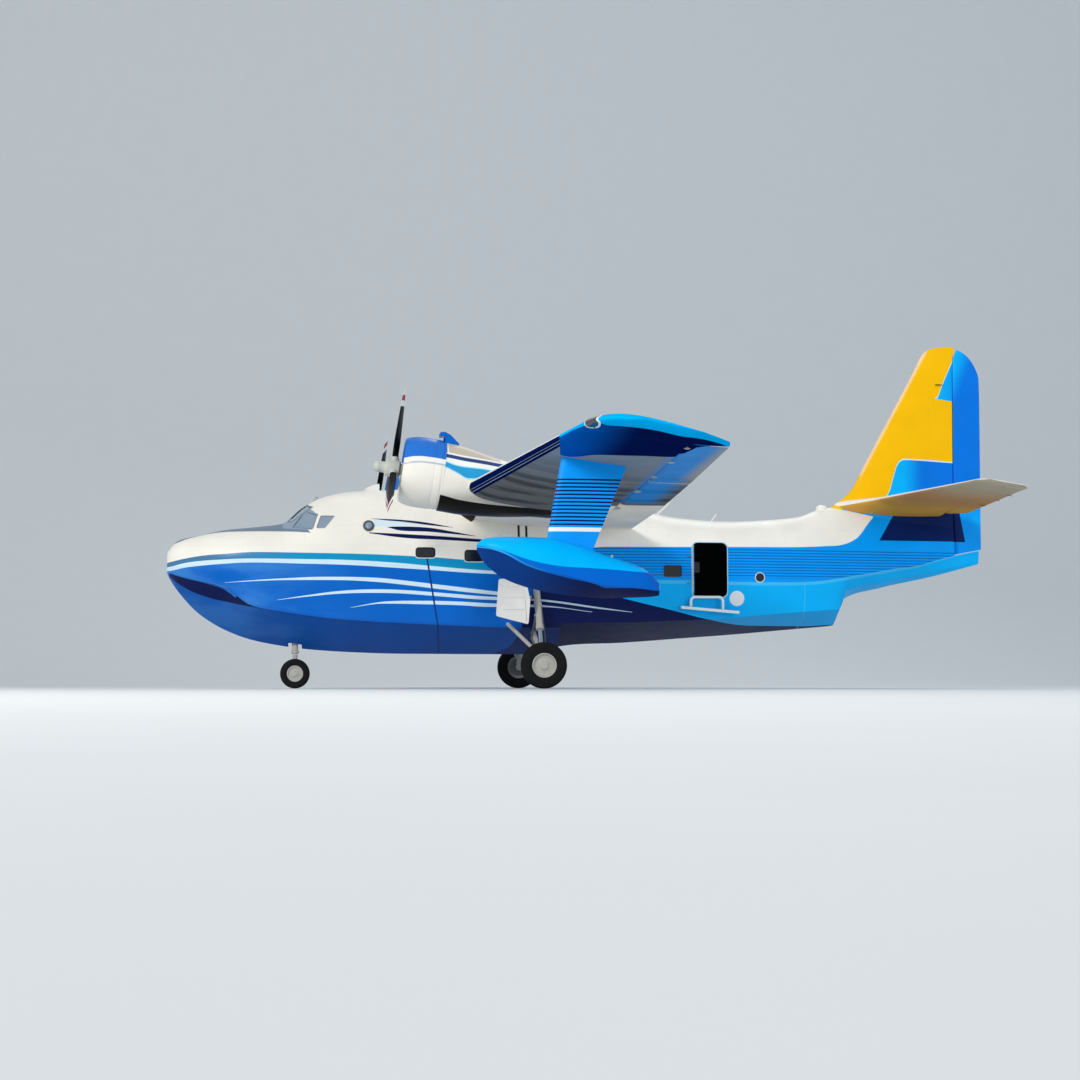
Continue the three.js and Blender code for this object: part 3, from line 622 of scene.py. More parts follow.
class Painter:
    """Lays colours on one material, by masks in the aircraft's own coordinates."""

    # The charts of the drawn lines reach this far aft and up
    CHART = 20.0
    # The riveted panels' length and width, and half the drawn width and the depth of their joints
    PANEL = (0.9, 0.45)
    JOINT_HALF = 0.0035
    JOINT_DEPTH = 0.0015
    METAL_SPECULAR = 0.5
    # The fine relief has this many lumps along a grain, and is this many times lower than the slow one
    GRAIN_LUMPS = 12
    GRAIN_PART = 6

    def __init__(self, name: str, base: Hue) -> None:
        """Starts a material with its ground colour.

        Args:
            name: the material's name.
            base: its ground colour.
        """
        self.material = bpy.data.materials.new(name)
        self.material.use_nodes = True
        self.tree = self.material.node_tree
        self.coords = add(self.tree, "TexCoord", out="Object")
        self.x, self.y, self.z = (add(self.tree, "SeparateXYZ", {0: self.coords}, out=k) for k in "XYZ")
        self.station = self.sum("SUBTRACT", self.x, NOSE)
        self.aside = self.sum("ABSOLUTE", self.y, 0.0)
        self.colour: Socket | tuple[float, ...] = linear(base)

    def plain(self) -> None:
        """Holds the ground colour in a node of its own."""
        node = add(self.tree, "RGB")
        node.default_value = self.colour
        self.colour = node

    def sum(self, operation: str, a: Socket | float, b: Socket | float, c: float = 0.0) -> Socket:
        """One step of a mask's arithmetic."""
        return add(self.tree, "Math", {0: a, 1: b, 2: c}, operation=operation)

    def less(self, value: Socket, limit: Socket | float) -> Socket:
        """Where a value lies below a limit."""
        return self.sum("LESS_THAN", value, limit)

    def more(self, value: Socket, limit: Socket | float) -> Socket:
        """Where a value lies above a limit."""
        return self.sum("GREATER_THAN", value, limit)

    def leaning(self, slope: float) -> Socket:
        """The station, moved aft by a slope times the height, for masks whose edges lean."""
        return self.sum("MULTIPLY_ADD", self.z, slope, self.station)

    def both(self, *masks: Socket) -> Socket:
        """Where all masks hold.

        Args:
            masks: the masks to join.
        Returns:
            One mask.
        """
        result = masks[0]
        for mask in masks[1:]:
            result = self.sum("MULTIPLY", result, mask)
        return result

    def between(self, value: Socket, low: float, high: float) -> Socket:
        """Where a value lies between two limits."""
        return self.both(self.more(value, low), self.less(value, high))

    def level(self, line: Line) -> Socket:
        """The height of a drawn line at each station.

        Args:
            line: (station, height) pairs.
        Returns:
            The height.
        """
        part = self.sum("DIVIDE", self.station, self.CHART)
        value = add(self.tree, "FloatCurve", {"Value": part})
        mapping = value.node.mapping
        mapping.extend = "HORIZONTAL"
        curve = mapping.curves[0]
        spots = [(s / self.CHART, z / self.CHART) for s, z in line]
        curve.points[0].location, curve.points[1].location = spots[0], spots[-1]
        for spot in spots[1:-1]:
            curve.points.new(*spot)
        for point in curve.points:
            point.handle_type = "AUTO_CLAMPED"
        mapping.update()
        return self.sum("MULTIPLY", value, self.CHART)

    def under(self, line: Line) -> Socket:
        """Where the surface lies below a drawn line."""
        return self.less(self.z, self.level(line))

    def over(self, line: Line, height: Socket | None = None) -> Socket:
        """Where the surface lies above a drawn line; another value can take its height's place."""
        return self.more(height or self.z, self.level(line))

    def band(self, top: Line, foot: Line) -> Socket:
        """Where the surface lies between two drawn lines, from their first to their last station."""
        return self.both(self.under(top), self.over(foot), self.between(self.station, top[0][0], top[-1][0]))

    def stripes(self, value: Socket, pitch: float, width: float) -> Socket:
        """Even stripes across a value."""
        turn = self.sum("FRACT", self.sum("DIVIDE", value, pitch), 0.0)
        return self.less(turn, width / pitch)

    def facing(self, axis: str) -> Socket:
        """The part of the surface's direction along one axis."""
        normal = add(self.tree, "NewGeometry", out="Normal")
        return add(self.tree, "SeparateXYZ", {0: normal}, out=axis)

    def lay(self, hue: Hue, *masks: Socket, strength: float = 1.0) -> None:
        """Paints a colour where all masks hold.

        Args:
            hue: the colour.
            masks: where it goes.
            strength: how much of the paint below it covers.
        """
        part = self.both(*masks)
        if strength < 1:
            part = self.sum("MULTIPLY", part, strength)
        inputs = {0: part, 6: self.colour, 7: linear(hue)}
        self.colour = add(self.tree, "Mix", inputs, out=2, data_type="RGBA")

    def fade(self, value: Socket, start: float, end: float) -> Socket:
        """A soft mask that rises from start to end."""
        return add(self.tree, "MapRange", {0: value, 1: start, 2: end}, interpolation_type="SMOOTHSTEP")

    def cloud(self, scale: float, detail: float = 3.0, stretch: tuple[float, ...] = (1, 1, 1)) -> Socket:
        """A soft random pattern, its scale in lumps a metre."""
        coords = add(self.tree, "Mapping", {0: self.coords, 3: stretch})
        return add(self.tree, "TexNoise", {"Vector": coords, "Scale": scale, "Detail": detail})

    def seams(self, way: Seams) -> Socket:
        """The joints between riveted panels, drawn wider than real ones so that they show.

        Args:
            way: which way the panels run.
        Returns:
            The joints' mask.
        """
        along, across = (getattr(self, axis) for axis in way.value)
        plane = add(self.tree, "CombineXYZ", {0: along, 1: across})
        return add(self.tree, "TexBrick", {
            "Vector": plane, "Scale": 1.0, "Mortar Size": self.JOINT_HALF, "Mortar Smooth": 0.4,
            "Brick Width": self.PANEL[0], "Row Height": self.PANEL[1],
        }, out="Fac")

    def done(self, gloss: Gloss, seams: Seams = Seams.NONE, wear: float = 0.06) -> Material:
        """Joins colour, gloss, wear and relief to the shader.

        Args:
            gloss: how the finish takes the light.
            seams: which panel joints it shows.
            wear: how far the colour varies.
        Returns:
            The finished material.
        """
        tree = self.tree
        lumps = self.cloud(1.3, 5.0)
        grime = add(tree, "MapRange", {0: lumps, 1: 0.35, 2: 0.75, 3: 1 - wear, 4: 1 + wear * 0.4})
        colour = add(tree, "HueSaturation", {"Value": grime, "Color": self.colour})
        relief = self.sum("MULTIPLY", lumps, gloss.bump_mm / 1000)
        fine = self.cloud(self.GRAIN_LUMPS * 1000 / gloss.grain_mm, 2.0)
        relief = self.sum("MULTIPLY_ADD", fine, gloss.bump_mm / 1000 / self.GRAIN_PART, relief)
        if seams is not Seams.NONE:
            joints = self.seams(seams)
            shade = self.sum("MULTIPLY", joints, 0.1)
            colour = add(tree, "Mix", {0: shade, 6: colour, 7: linear(Hue.GLARE)}, out=2, data_type="RGBA")
            relief = self.sum("MULTIPLY_ADD", joints, -self.JOINT_DEPTH, relief)
        normal = add(tree, "Bump", {"Height": relief, "Strength": 0.6, "Distance": 1.0})
        rough = add(tree, "MapRange", {
            0: self.cloud(4.0, 4.0), 1: 0.3, 2: 0.7,
            3: gloss.roughness - gloss.spread / 2, 4: gloss.roughness + gloss.spread / 2,
        })
        shader = tree.nodes["Principled BSDF"]
        for key, value in (
            ("Metallic", gloss.metallic),
            ("Coat Weight", gloss.coat),
            ("Coat Roughness", gloss.coat_roughness),
            ("Specular IOR Level", self.METAL_SPECULAR if gloss.metallic else gloss.specular),
        ):
            shader.inputs[key].default_value = value
        for key, socket in (("Base Color", colour), ("Roughness", rough), ("Normal", normal)):
            tree.links.new(socket, shader.inputs[key])
        return self.material


def edges(stripe: Stripe) -> tuple[Line, Line]:
    """A stripe's upper and lower edge, from its rows of station, top and foot."""
    return [row[:2] for row in stripe], [row[::2] for row in stripe]


def tail_panel(paint: Painter) -> Socket:
    """The dark panel under the tailplane: it runs from the tail cone over the fin's foot to the rudder.

    Args:
        paint: the material that it goes on.
    Returns:
        The panel's mask.
    """
    front = paint.leaning(-0.696)
    back = paint.leaning(0.2)
    return paint.both(
        paint.between(paint.z, 3.38, 4.3), paint.more(front, 13.784), paint.less(back, 18.96),
    )


@dataclass(frozen=True)
class HullLivery:
    """Gloss polyurethane on riveted aluminium: cream above, blues below, with swept pale stripes."""

    blue_top: Line = (
        (0.0, 2.78), (0.09, 2.80), (0.39, 2.86), (0.79, 2.92), (1.32, 2.96), (1.96, 2.993), (2.9, 2.98),
        (4.58, 2.948), (5.13, 2.925), (5.8, 2.895), (6.9, 2.83), (7.6, 2.84), (8.4, 2.95), (9.1, 3.08),
        (9.62, 3.145), (10.9, 3.155), (13.24, 3.179), (14.2, 3.193), (14.8, 3.225), (15.2, 3.26),
        (15.6, 3.43), (15.74, 3.57), (15.88, 3.74), (16.07, 3.94), (16.4, 4.4),
    )
    glare_foot: Line = (
        (0.0, 3.15), (0.15, 3.20), (0.53, 3.345), (1.0, 3.445), (1.63, 3.475), (2.58, 3.462), (3.13, 3.43),
        (3.3, 3.41),
    )
    glare_top: Line = ((0.0, 5.0), (2.6, 5.0), (2.8, 3.62), (3.1, 3.53), (3.16, 3.40), (3.3, 3.38))
    pale: Stripe = (
        (0.0, 2.69, 2.605), (0.1, 2.7, 2.61), (0.4, 2.765, 2.665), (0.75, 2.805, 2.7), (1.2, 2.83, 2.733),
        (1.85, 2.85, 2.762), (2.94, 2.839, 2.74), (4.03, 2.82, 2.71), (5.13, 2.759, 2.649),
        (5.8, 2.7, 2.609), (6.9, 2.615, 2.54), (8.6, 2.52, 2.5),
    )
    swept: Sequence[Stripe] = (
        (
            (1.3, 2.33, 2.325), (2.53, 2.412, 2.375), (3.6, 2.45, 2.379), (4.69, 2.427, 2.335),
            (5.13, 2.385, 2.29), (6.0, 2.285, 2.19), (6.8, 2.195, 2.105), (8.6, 1.98, 1.95),
        ),
        (
            (2.45, 1.945, 1.94), (3.16, 2.055, 2.02), (3.82, 2.14, 2.08), (4.69, 2.178, 2.1),
            (5.13, 2.168, 2.09), (6.0, 2.11, 2.03), (6.9, 2.04, 1.965), (8.23, 1.975, 1.93),
            (9.57, 1.8, 1.765), (10.3, 1.7, 1.69),
        ),
        (
            (4.05, 1.78, 1.775), (4.8, 1.91, 1.865), (5.57, 1.93, 1.855), (6.45, 1.915, 1.835),
            (7.1, 1.88, 1.8), (8.3, 1.84, 1.8), (9.4, 1.7, 1.69),
        ),
    )
    cheat: Sequence[Stripe] = (
        (
            (4.5, 3.75, 3.745), (5.13, 3.725, 3.675), (5.68, 3.67, 3.615), (6.3, 3.56, 3.555),
        ),
        (
            (4.85, 3.56, 3.555), (5.13, 3.57, 3.48), (5.79, 3.545, 3.455), (6.23, 3.475, 3.415),
            (6.8, 3.37, 3.365),
        ),
        (
            (4.45, 3.435, 3.415), (5.24, 3.4, 3.315), (6.0, 3.36, 3.28), (6.79, 3.305, 3.24),
            (7.6, 3.25, 3.2), (9.3, 3.15, 3.145),
        ),
    )
    cheat_pale: Stripe = (
        (4.55, 3.72, 3.57), (5.2, 3.68, 3.575), (5.9, 3.6, 3.58),
    )
    glass_top: Line = ((2.50, 3.62), (2.62, 3.72), (2.76, 3.90), (2.93, 4.02), (3.05, 4.03), (3.33, 3.85))
    glass_foot: Line = ((2.50, 3.545), (2.76, 3.52), (3.05, 3.50), (3.33, 3.49))
    wedge_foot: Line = (
        (0.0, 2.56), (0.05, 2.50), (0.386, 2.24), (0.967, 2.00), (1.3, 1.92), (1.80, 1.81), (2.3, 1.74),
        (2.56, 1.71),
    )
    knuckle: Stripe = (
        (10.2, 2.36, 2.355), (10.6, 2.405, 2.34), (10.93, 2.415, 2.335), (13.23, 2.385, 2.315),
        (14.5, 2.41, 2.345), (15.14, 2.5, 2.435), (15.88, 2.62, 2.56), (16.6, 2.745, 2.69),
        (17.0, 2.8, 2.755), (17.6, 2.96, 2.93), (18.67, 3.23, 3.22),
    )
    belly: Line = (
        (0.0, 0.0), (7.6, 0.9), (8.1, 2.1), (8.6, 2.28), (9.4, 2.14), (10.02, 2.02), (10.48, 1.91),
        (11.3, 1.72), (12.0, 1.55), (13.2, 1.42), (14.4, 1.42), (15.2, 1.46), (15.3, 0.9),
    )
    pins_foot: float = 2.47
    pin_pitch: float = 0.0645
    disc: Point = (12.693, 2.014)
    disc_radius: float = 0.17

    def material(self) -> Material:
        """Builds the hull's paint.

        Returns:
            The paint.
        """
        # Sprayed polyurethane over riveted sheet: clear colours, an even gloss and fine joint lines
        paint = Painter("gloss_hull_paint", Hue.CREAM)
        for stripe in self.cheat:
            paint.lay(Hue.NAVY, paint.band(*edges(stripe)))
        paint.lay(
            Hue.PALE, paint.band(*edges(self.cheat_pale)), paint.fade(paint.station, 5.9, 5.0), strength=0.8
        )
        paint.lay(Hue.NOSE_GREY, paint.band(self.glare_top, self.glare_foot))
        below = paint.under(self.blue_top)
        paint.lay(Hue.COBALT, below)
        # Paler blotches on the bow's blue, fading aft: painted glints
        painted_glints = paint.fade(paint.cloud(1.1, 3.0, (0.4, 1, 1.4)), 0.38, 0.62)
        paint.lay(Hue.GLINT, below, painted_glints, paint.fade(paint.station, 4.6, 1.6), strength=0.55)
        # The rear is azure, behind a swept join
        rear = paint.more(paint.leaning(0.9), 11.9)
        band = paint.both(below, paint.over(edges(self.pale)[0]))
        paint.lay(Hue.SLATE, band)
        paint.lay(Hue.TEAL, band, paint.fade(paint.station, 0.6, 3.4))
        paint.lay(Hue.AZURE, band, paint.fade(paint.station, 6.8, 8.0))
        for stripe in (self.pale, *self.swept):
            paint.lay(Hue.PALE, paint.band(*edges(stripe)))
        rear_blue = paint.both(rear, below)
        paint.lay(Hue.AZURE, rear_blue)
        pins = paint.stripes(paint.z, self.pin_pitch, self.pin_pitch * 0.42)
        paint.lay(Hue.PIN_BLUE, rear_blue, pins, paint.between(paint.z, self.pins_foot, 3.16))
        paint.lay(Hue.SKY, rear_blue, paint.under(edges(self.knuckle)[1]))
        paint.lay(Hue.AQUA, rear_blue, paint.band(*edges(self.knuckle)), strength=0.9)
        # Navy low on the sides from the wheels aft: painted shade under the bottom and painted shadow of the
        # float and wing
        paint.lay(Hue.NAVY, paint.under(self.belly))
        for stripe in self.swept[1:]:
            paint.lay(Hue.PALE, paint.band(*edges(stripe)), paint.more(paint.station, 7.5), strength=0.7)
        # A thin dark line runs down the side ahead of the wheels
        strip = paint.leaning(0.1634)
        paint.lay(Hue.DEEP_BLUE, paint.between(strip, 6.175, 6.215), paint.less(paint.z, 2.88))
        paint.lay(Hue.PANEL, tail_panel(paint))
        # Two dark drain lines run down the side under the wing
        for start in (7.735, 7.905):
            line = paint.between(paint.station, start, start + 0.05)
            paint.lay(Hue.LINING, line, paint.between(paint.z, 3.34, 3.95))
        # A pale welt runs down the tail of the planing bottom
        welt = paint.between(paint.station, 14.285, 14.31)
        paint.lay(Hue.AQUA, rear_blue, welt, paint.less(paint.z, 2.34), strength=0.7)
        # A plain pale disc behind the door
        side = paint.sum("SUBTRACT", paint.station, self.disc[0])
        rise = paint.sum("SUBTRACT", paint.z, self.disc[1])
        span = paint.sum("ADD", paint.sum("MULTIPLY", side, side), paint.sum("MULTIPLY", rise, rise))
        paint.lay(Hue.WHITE, paint.less(span, self.disc_radius ** 2), strength=0.9)
        # A faint grey-brown film in blotches darkens the sides low down
        film = paint.both(paint.fade(paint.z, 2.0, 1.2), paint.cloud(2.2, 5.0, (0.35, 1, 1.6)))
        paint.lay(Hue.BROWN, film, strength=0.08)
        self.bow_and_glazing(paint)
        return paint.done(Gloss(), Seams.SIDE)

    def door(self, outer_from: float) -> Material:
        """Builds the door leaf's paint, with the hull's rear blues on its outer face.

        Args:
            outer_from: the station behind which the open leaf shows its outer face.
        Returns:
            The paint.
        """
        # The same polyurethane, on one smooth leaf without joints
        paint = Painter("gloss_door_paint", Hue.CREAM)
        outer = paint.both(paint.more(paint.station, outer_from), paint.less(paint.z, 3.166))
        paint.lay(Hue.AZURE, outer)
        pins = paint.stripes(paint.z, self.pin_pitch, self.pin_pitch * 0.42)
        paint.lay(Hue.PIN_BLUE, outer, pins, paint.more(paint.z, self.pins_foot))
        paint.lay(Hue.SKY, outer, paint.less(paint.z, 2.33))
        paint.lay(Hue.AQUA, outer, paint.between(paint.z, 2.33, 2.41), strength=0.9)
        return paint.done(Gloss())

    def bow_and_glazing(self, paint: Painter) -> None:
        """The bow under the chine, darkened with painted shade, and the windscreen's glazing between its
        panes.

        Args:
            paint: the hull's paint.
        """
        # Faces that look down, forward of the step, get a darker blue: painted shade; a navy wedge under the
        # bow's spray rail is painted shadow
        below = paint.both(paint.less(paint.facing("Z"), -0.47), paint.less(paint.station, 8.7))
        paint.lay(Hue.DEEP_BLUE, below, strength=0.5)
        paint.lay(Hue.NAVY, below, paint.over(self.wedge_foot), paint.less(paint.station, 2.4))
        # The glazing ends at a white post that leans aft
        lean = paint.leaning(-0.42)
        glass = paint.both(paint.under(self.glass_top), paint.over(self.glass_foot), paint.less(lean, 1.72))
        glass = paint.both(glass, paint.more(paint.station, 2.56))
        paint.lay(Hue.SKY_GLASS, glass)


class Finishes:
    """The plain finishes, each made once."""

    def __init__(self) -> None:
        """Builds every finish that is not a livery."""
        # Sprayed enamels over sheet metal: an even colour under a soft gloss
        self.white = self.enamel("white_enamel", Hue.WHITE, Gloss(0.3))
        self.cream = self.enamel("cream_enamel", Hue.CREAM, Gloss(0.32))
        self.black = self.enamel("black_satin_enamel", Hue.BLACK, Gloss(0.42, coat=0.15))
        self.grey = self.enamel("light_grey_gear_enamel", Hue.GEAR_GREY, Gloss(0.4))
        self.pearl = self.enamel("pale_hub_enamel", Hue.PEARL, Gloss(0.35))
        self.ladder = self.enamel("pale_ladder_enamel", Hue.LADDER, Gloss(0.3))
        self.frame = self.enamel("grey_blue_window_frame", Hue.NOSE_GREY, Gloss(0.4))
        self.edge = self.enamel("pale_blue_door_frame", Hue.DOOR_FRAME, Gloss(0.35))
        # Quilted cloth and sprayed primer: dark, dry and without a highlight
        quilt = Gloss(0.85, coat=0.0, grain_mm=60, bump_mm=2.0)
        self.lining = self.enamel("quilted_dark_lining", Hue.LINING, quilt)
        self.primer = self.enamel("interior_primer", Hue.PRIMER, Gloss(0.6, coat=0.0))
        # Brushed steel has a wide grey highlight, and a chromed oleo mirrors what is round it
        self.steel = self.enamel("brushed_steel", Hue.STEEL, Gloss(0.34, 1.0, 0.0, grain_mm=80, bump_mm=0.2))
        chrome = Gloss(0.1, 1.0, 0.0, spread=0.04, bump_mm=0.0)
        self.chrome = self.enamel("chromed_oleo_steel", Hue.CHROME, chrome)
        # Sand-cast aluminium is dull and pitted, and exhaust heat turns steel brown
        casting = Gloss(0.5, 0.9, 0.0, grain_mm=30, bump_mm=0.8)
        self.casting = self.enamel("cast_aluminium", Hue.ALUMINIUM, casting)
        self.burnt = self.enamel("heat_stained_steel", Hue.BURNT_STEEL, Gloss(0.5, 0.9, 0.0, grain_mm=60))
        # Moulded rubber is almost black, with hardly any shine
        rubber = Gloss(0.78, coat=0.0, grain_mm=40, bump_mm=0.5)
        self.rubber = self.enamel("moulded_tyre_rubber", Hue.RUBBER, rubber)
        # Polished lenses and cast acrylic are smooth: a small sharp highlight
        self.lamp = self.enamel("clear_lamp_lens", Hue.LENS, Gloss(0.05, coat=1.0, bump_mm=0.0))
        smoked = Gloss(0.05, coat=0.6, spread=0.02, specular=0.5, bump_mm=0.05)
        self.dark_glass = self.enamel("smoked_acrylic_glazing", Hue.SMOKED, smoked)
        self.glass = self.tinted_glass()

    def enamel(self, name: str, hue: Hue, gloss: Gloss) -> Material:
        """A one-colour finish with soft wear, grain and a little unevenness.

        Args:
            name: the material's name.
            hue: its colour.
            gloss: how it takes the light.
        Returns:
            The finish.
        """
        paint = Painter(name, hue)
        paint.plain()
        return paint.done(gloss, wear=0.1)

    def tinted_glass(self) -> Material:
        """Acrylic panes: grey-blue, smooth and nearly opaque from outside, with soft darker streaks of
        painted reflection.

        Returns:
            The finish.
        """
        # Cast acrylic: a hard highlight, and little seen through it
        paint = Painter("tinted_acrylic_glazing", Hue.SKY_GLASS)
        # Soft darker streaks over the grey-blue: painted reflection of the sky
        paint.lay(Hue.SLATE, paint.fade(paint.cloud(0.9, 2.0, (1, 1, 3)), 0.35, 0.75), strength=0.25)
        polish = Gloss(0.06, coat=1.0, coat_roughness=0.03, specular=0.5, spread=0.02, bump_mm=0.05)
        glass = paint.done(polish, wear=0.0)
        shader = glass.node_tree.nodes["Principled BSDF"]
        shader.inputs["Transmission Weight"].default_value = 0.12
        shader.inputs["IOR"].default_value = 1.49
        return glass


@dataclass
class HullForm:
    """The hull's lines. Rows are sections: keel, chine, knuckle, shoulder and top, and the arch's power."""

    rows: Sequence[Sequence[float]] = (
        # station keel chine_y chine_z knuckle_y knuckle_z shoulder_y shoulder_z top power
        (0.0, 2.60, 0.02, 2.62, 0.04, 2.74, 0.04, 2.86, 2.96, 2.0),
        (0.06, 2.44, 0.17, 2.59, 0.24, 2.74, 0.24, 2.89, 3.105, 2.0),
        (0.27, 2.13, 0.33, 2.51, 0.43, 2.71, 0.44, 2.88, 3.30, 2.0),
        (0.74, 1.64, 0.56, 2.385, 0.69, 2.64, 0.71, 2.85, 3.41, 2.0),
        (1.30, 1.30, 0.78, 2.235, 0.89, 2.55, 0.91, 2.84, 3.54, 2.0),
        (1.90, 1.08, 0.94, 1.83, 1.02, 2.45, 1.04, 2.86, 3.60, 2.1),
        (2.56, 0.95, 1.05, 1.70, 1.11, 2.40, 1.12, 2.90, 3.69, 2.1),
        (3.00, 0.89, 1.10, 1.63, 1.145, 2.40, 1.15, 2.95, 4.045, 1.75),
        (3.45, 0.85, 1.135, 1.57, 1.175, 2.40, 1.18, 3.00, 4.29, 1.8),
        (4.16, 0.81, 1.18, 1.51, 1.205, 2.40, 1.205, 3.05, 4.43, 1.9),
        (5.20, 0.78, 1.215, 1.45, 1.225, 2.40, 1.22, 3.10, 4.465, 2.0),
        (8.70, 0.77, 1.225, 1.35, 1.23, 2.40, 1.225, 3.15, 4.39, 2.0),
        (8.704, 0.93, 1.225, 1.44, 1.23, 2.40, 1.225, 3.15, 4.39, 2.0),
        (10.30, 1.04, 1.19, 1.47, 1.215, 2.37, 1.205, 3.15, 4.14, 2.0),
        (11.00, 1.09, 1.165, 1.50, 1.195, 2.36, 1.19, 3.15, 3.975, 2.0),
        (11.50, 1.13, 1.14, 1.52, 1.175, 2.355, 1.17, 3.13, 3.885, 2.0),
        (12.70, 1.22, 1.05, 1.59, 1.10, 2.35, 1.09, 3.08, 3.815, 2.0),
        (13.95, 1.33, 0.865, 1.705, 0.93, 2.38, 0.915, 3.08, 3.885, 2.0),
        (14.40, 1.37, 0.80, 1.74, 0.87, 2.39, 0.85, 3.08, 3.95, 1.9),
        (14.75, 1.40, 0.74, 1.765, 0.80, 2.43, 0.78, 3.08, 4.08, 1.65),
        (15.15, 1.45, 0.64, 1.80, 0.72, 2.48, 0.70, 3.08, 4.16, 1.5),
        (15.35, 2.02, 0.50, 2.21, 0.69, 2.515, 0.67, 3.08, 4.17, 1.45),
        (16.26, 2.31, 0.33, 2.44, 0.52, 2.67, 0.50, 3.14, 4.10, 1.35),
        (17.45, 2.57, 0.16, 2.68, 0.30, 2.905, 0.29, 3.24, 3.90, 1.4),
        (18.07, 2.73, 0.09, 2.82, 0.19, 3.07, 0.18, 3.33, 3.80, 1.5),
        (18.60, 2.875, 0.03, 2.93, 0.07, 3.215, 0.07, 3.26, 3.33, 2.0),
    )
    # The keel's steps, where a section has to stand
    breaks: Sequence[float] = (8.70, 8.704, 15.15, 15.35)
    floor_steps: int = 6
    side_steps: int = 5
    arch_steps: int = 18
    pitch: float = 0.12

    def __post_init__(self) -> None:
        """Fairs the rows."""
        self.faired = Faired(self.rows, 0.5)
        self.known: dict[float, list[Point]] = {}

    def section(self, station: float) -> list[Point]:
        """One half-section from the keel to the top, as (y, z) pairs.

        Args:
            station: where the section stands.
        Returns:
            The section's points.
        """
        if station in self.known:
            return self.known[station]
        row = self.faired.row(station)[1:]
        keel, chine, chine_z, knuckle, knuckle_z, shoulder, shoulder_z, top, power = row
        dip = 0.12 * (chine_z - keel)
        half = [
            (chine * t, mix(keel, chine_z, t) - dip * t * (1 - t)) for t in steps(0, 1, self.floor_steps)[:-1]
        ]
        for (y1, z1), (y2, z2) in (
            ((chine, chine_z), (knuckle, knuckle_z)),
            ((knuckle, knuckle_z), (shoulder, shoulder_z)),
        ):
            half += [(mix(y1, y2, t), mix(z1, z2, t)) for t in steps(0, 1, self.side_steps)[:-1]]
        for turn in steps(0, math.pi / 2, self.arch_steps):
            out, up = max(math.cos(turn), 0.0) ** (2 / power), math.sin(turn) ** (2 / power)
            half.append((shoulder * out, shoulder_z + (top - shoulder_z) * up))
        self.known[station] = half
        return half

    def ring(self, station: float) -> list[Vector]:
        """One whole section as a ring of points that starts at the keel."""
        half = self.section(station)
        return [at(station, y, z) for y, z in half] + [at(station, -y, z) for y, z in reversed(half[1:-1])]

    def stations(self, start: float, end: float) -> list[float]:
        """Where sections stand between two stations, with the steps in the keel among them.

        Args:
            start: the first station.
            end: the last station.
        Returns:
            All of them in order.
        """
        count = max(2, round((end - start) / self.pitch))
        breaks = [s for s in self.breaks if start < s < end]
        return sorted({*steps(start, end, count), *breaks})

    def width(self, station: float, z: float) -> float:
        """How far the side stands from the middle at a height, above the chine.

        Args:
            station: the place along the hull.
            z: the height.
        Returns:
            The half-width.
        """
        side = self.section(station)[self.floor_steps:]
        for (y1, z1), (y2, z2) in zip(side, side[1:]):
            if z <= z2:
                return mix(y1, y2, max(0.0, (z - z1) / (z2 - z1)))
        return 0.0

    def roof(self, station: float, y: float) -> float:
        """The height of the top skin at a distance from the middle.

        Args:
            station: the place along the hull.
            y: the distance from the middle.
        Returns:
            The height.
        """
        top = self.section(station)[-self.arch_steps - 1:]
        for (y1, z1), (y2, z2) in zip(top, top[1:]):
            if y >= y2:
                return mix(z1, z2, (y1 - y) / max(y1 - y2, 1e-6))
        return top[-1][1]

    def front(self, y: float, z: float) -> float:
        """The station where the windscreen's slope reaches a height.

        Args:
            y: the distance from the middle.
            z: the height.
        Returns:
            The station.
        """
        # Halves the windscreen's range of stations until the slope is found
        low, high = 2.3, 3.6
        for _ in range(24):
            middle = (low + high) / 2
            low, high = (low, middle) if self.roof(middle, y) > z else (middle, high)
        return low

    def on_side(self, hand: int) -> Put:
        """Turns (station, height, distance out) into points on one side of the hull."""
        return lambda s, z, out: at(s, hand * (self.width(s, z) + out), z)

    def on_front(self, hand: int) -> Put:
        """Turns (distance from the middle, height, distance out) into points on the windscreen."""
        # Outwards is forward and a little up, because the screen leans back
        ahead, up = 1.2, 0.4
        return lambda y, z, out: at(self.front(y, z) - out * ahead, hand * y, z + out * up)


def grown(outline: Line, amount: float) -> list[Point]:
    """An outline made larger, or smaller, by the same amount on every side.

    Args:
        outline: the outline.
        amount: how far each side moves out; below zero, in.
    Returns:
        The new outline.
    """
    low = [min(p[k] for p in outline) for k in (0, 1)]
    high = [max(p[k] for p in outline) for k in (0, 1)]
    middle = [(a + b) / 2 for a, b in zip(low, high)]
    scale = [1 + 2 * amount / (b - a) for a, b in zip(low, high)]
    return [tuple(m + (v - m) * f for v, m, f in zip(p, middle, scale)) for p in outline]


def split_up(outline: Line, pitch: float = 0.08) -> list[Point]:
    """An outline with points added along its long edges, so that it can follow a curved skin.

    Args:
        outline: the outline.
        pitch: the longest edge that stays whole.
    Returns:
        The new outline.
    """
    result = []
    for a, b in zip(outline, [*outline[1:], outline[0]]):
        count = max(1, math.ceil(math.dist(a, b) / pitch))
        result += [(mix(a[0], b[0], k / count), mix(a[1], b[1], k / count)) for k in range(count)]
    return result


def rounded(low: Point, high: Point, corner: float) -> list[Point]:
    """A rectangle with round corners.

    Args:
        low: the corner with the lowest coordinates.
        high: the opposite corner.
        corner: the corners' radius.
    Returns:
        The outline.
    """
    centres = (
        ((high[0] - corner, low[1] + corner), -90), ((high[0] - corner, high[1] - corner), 0),
        ((low[0] + corner, high[1] - corner), 90), ((low[0] + corner, low[1] + corner), 180),
    )
    return [
        (s + corner * math.cos(math.radians(start + turn)), z + corner * math.sin(math.radians(start + turn)))
        for (s, z), start in centres for turn in steps(0, 90, 6)
    ]


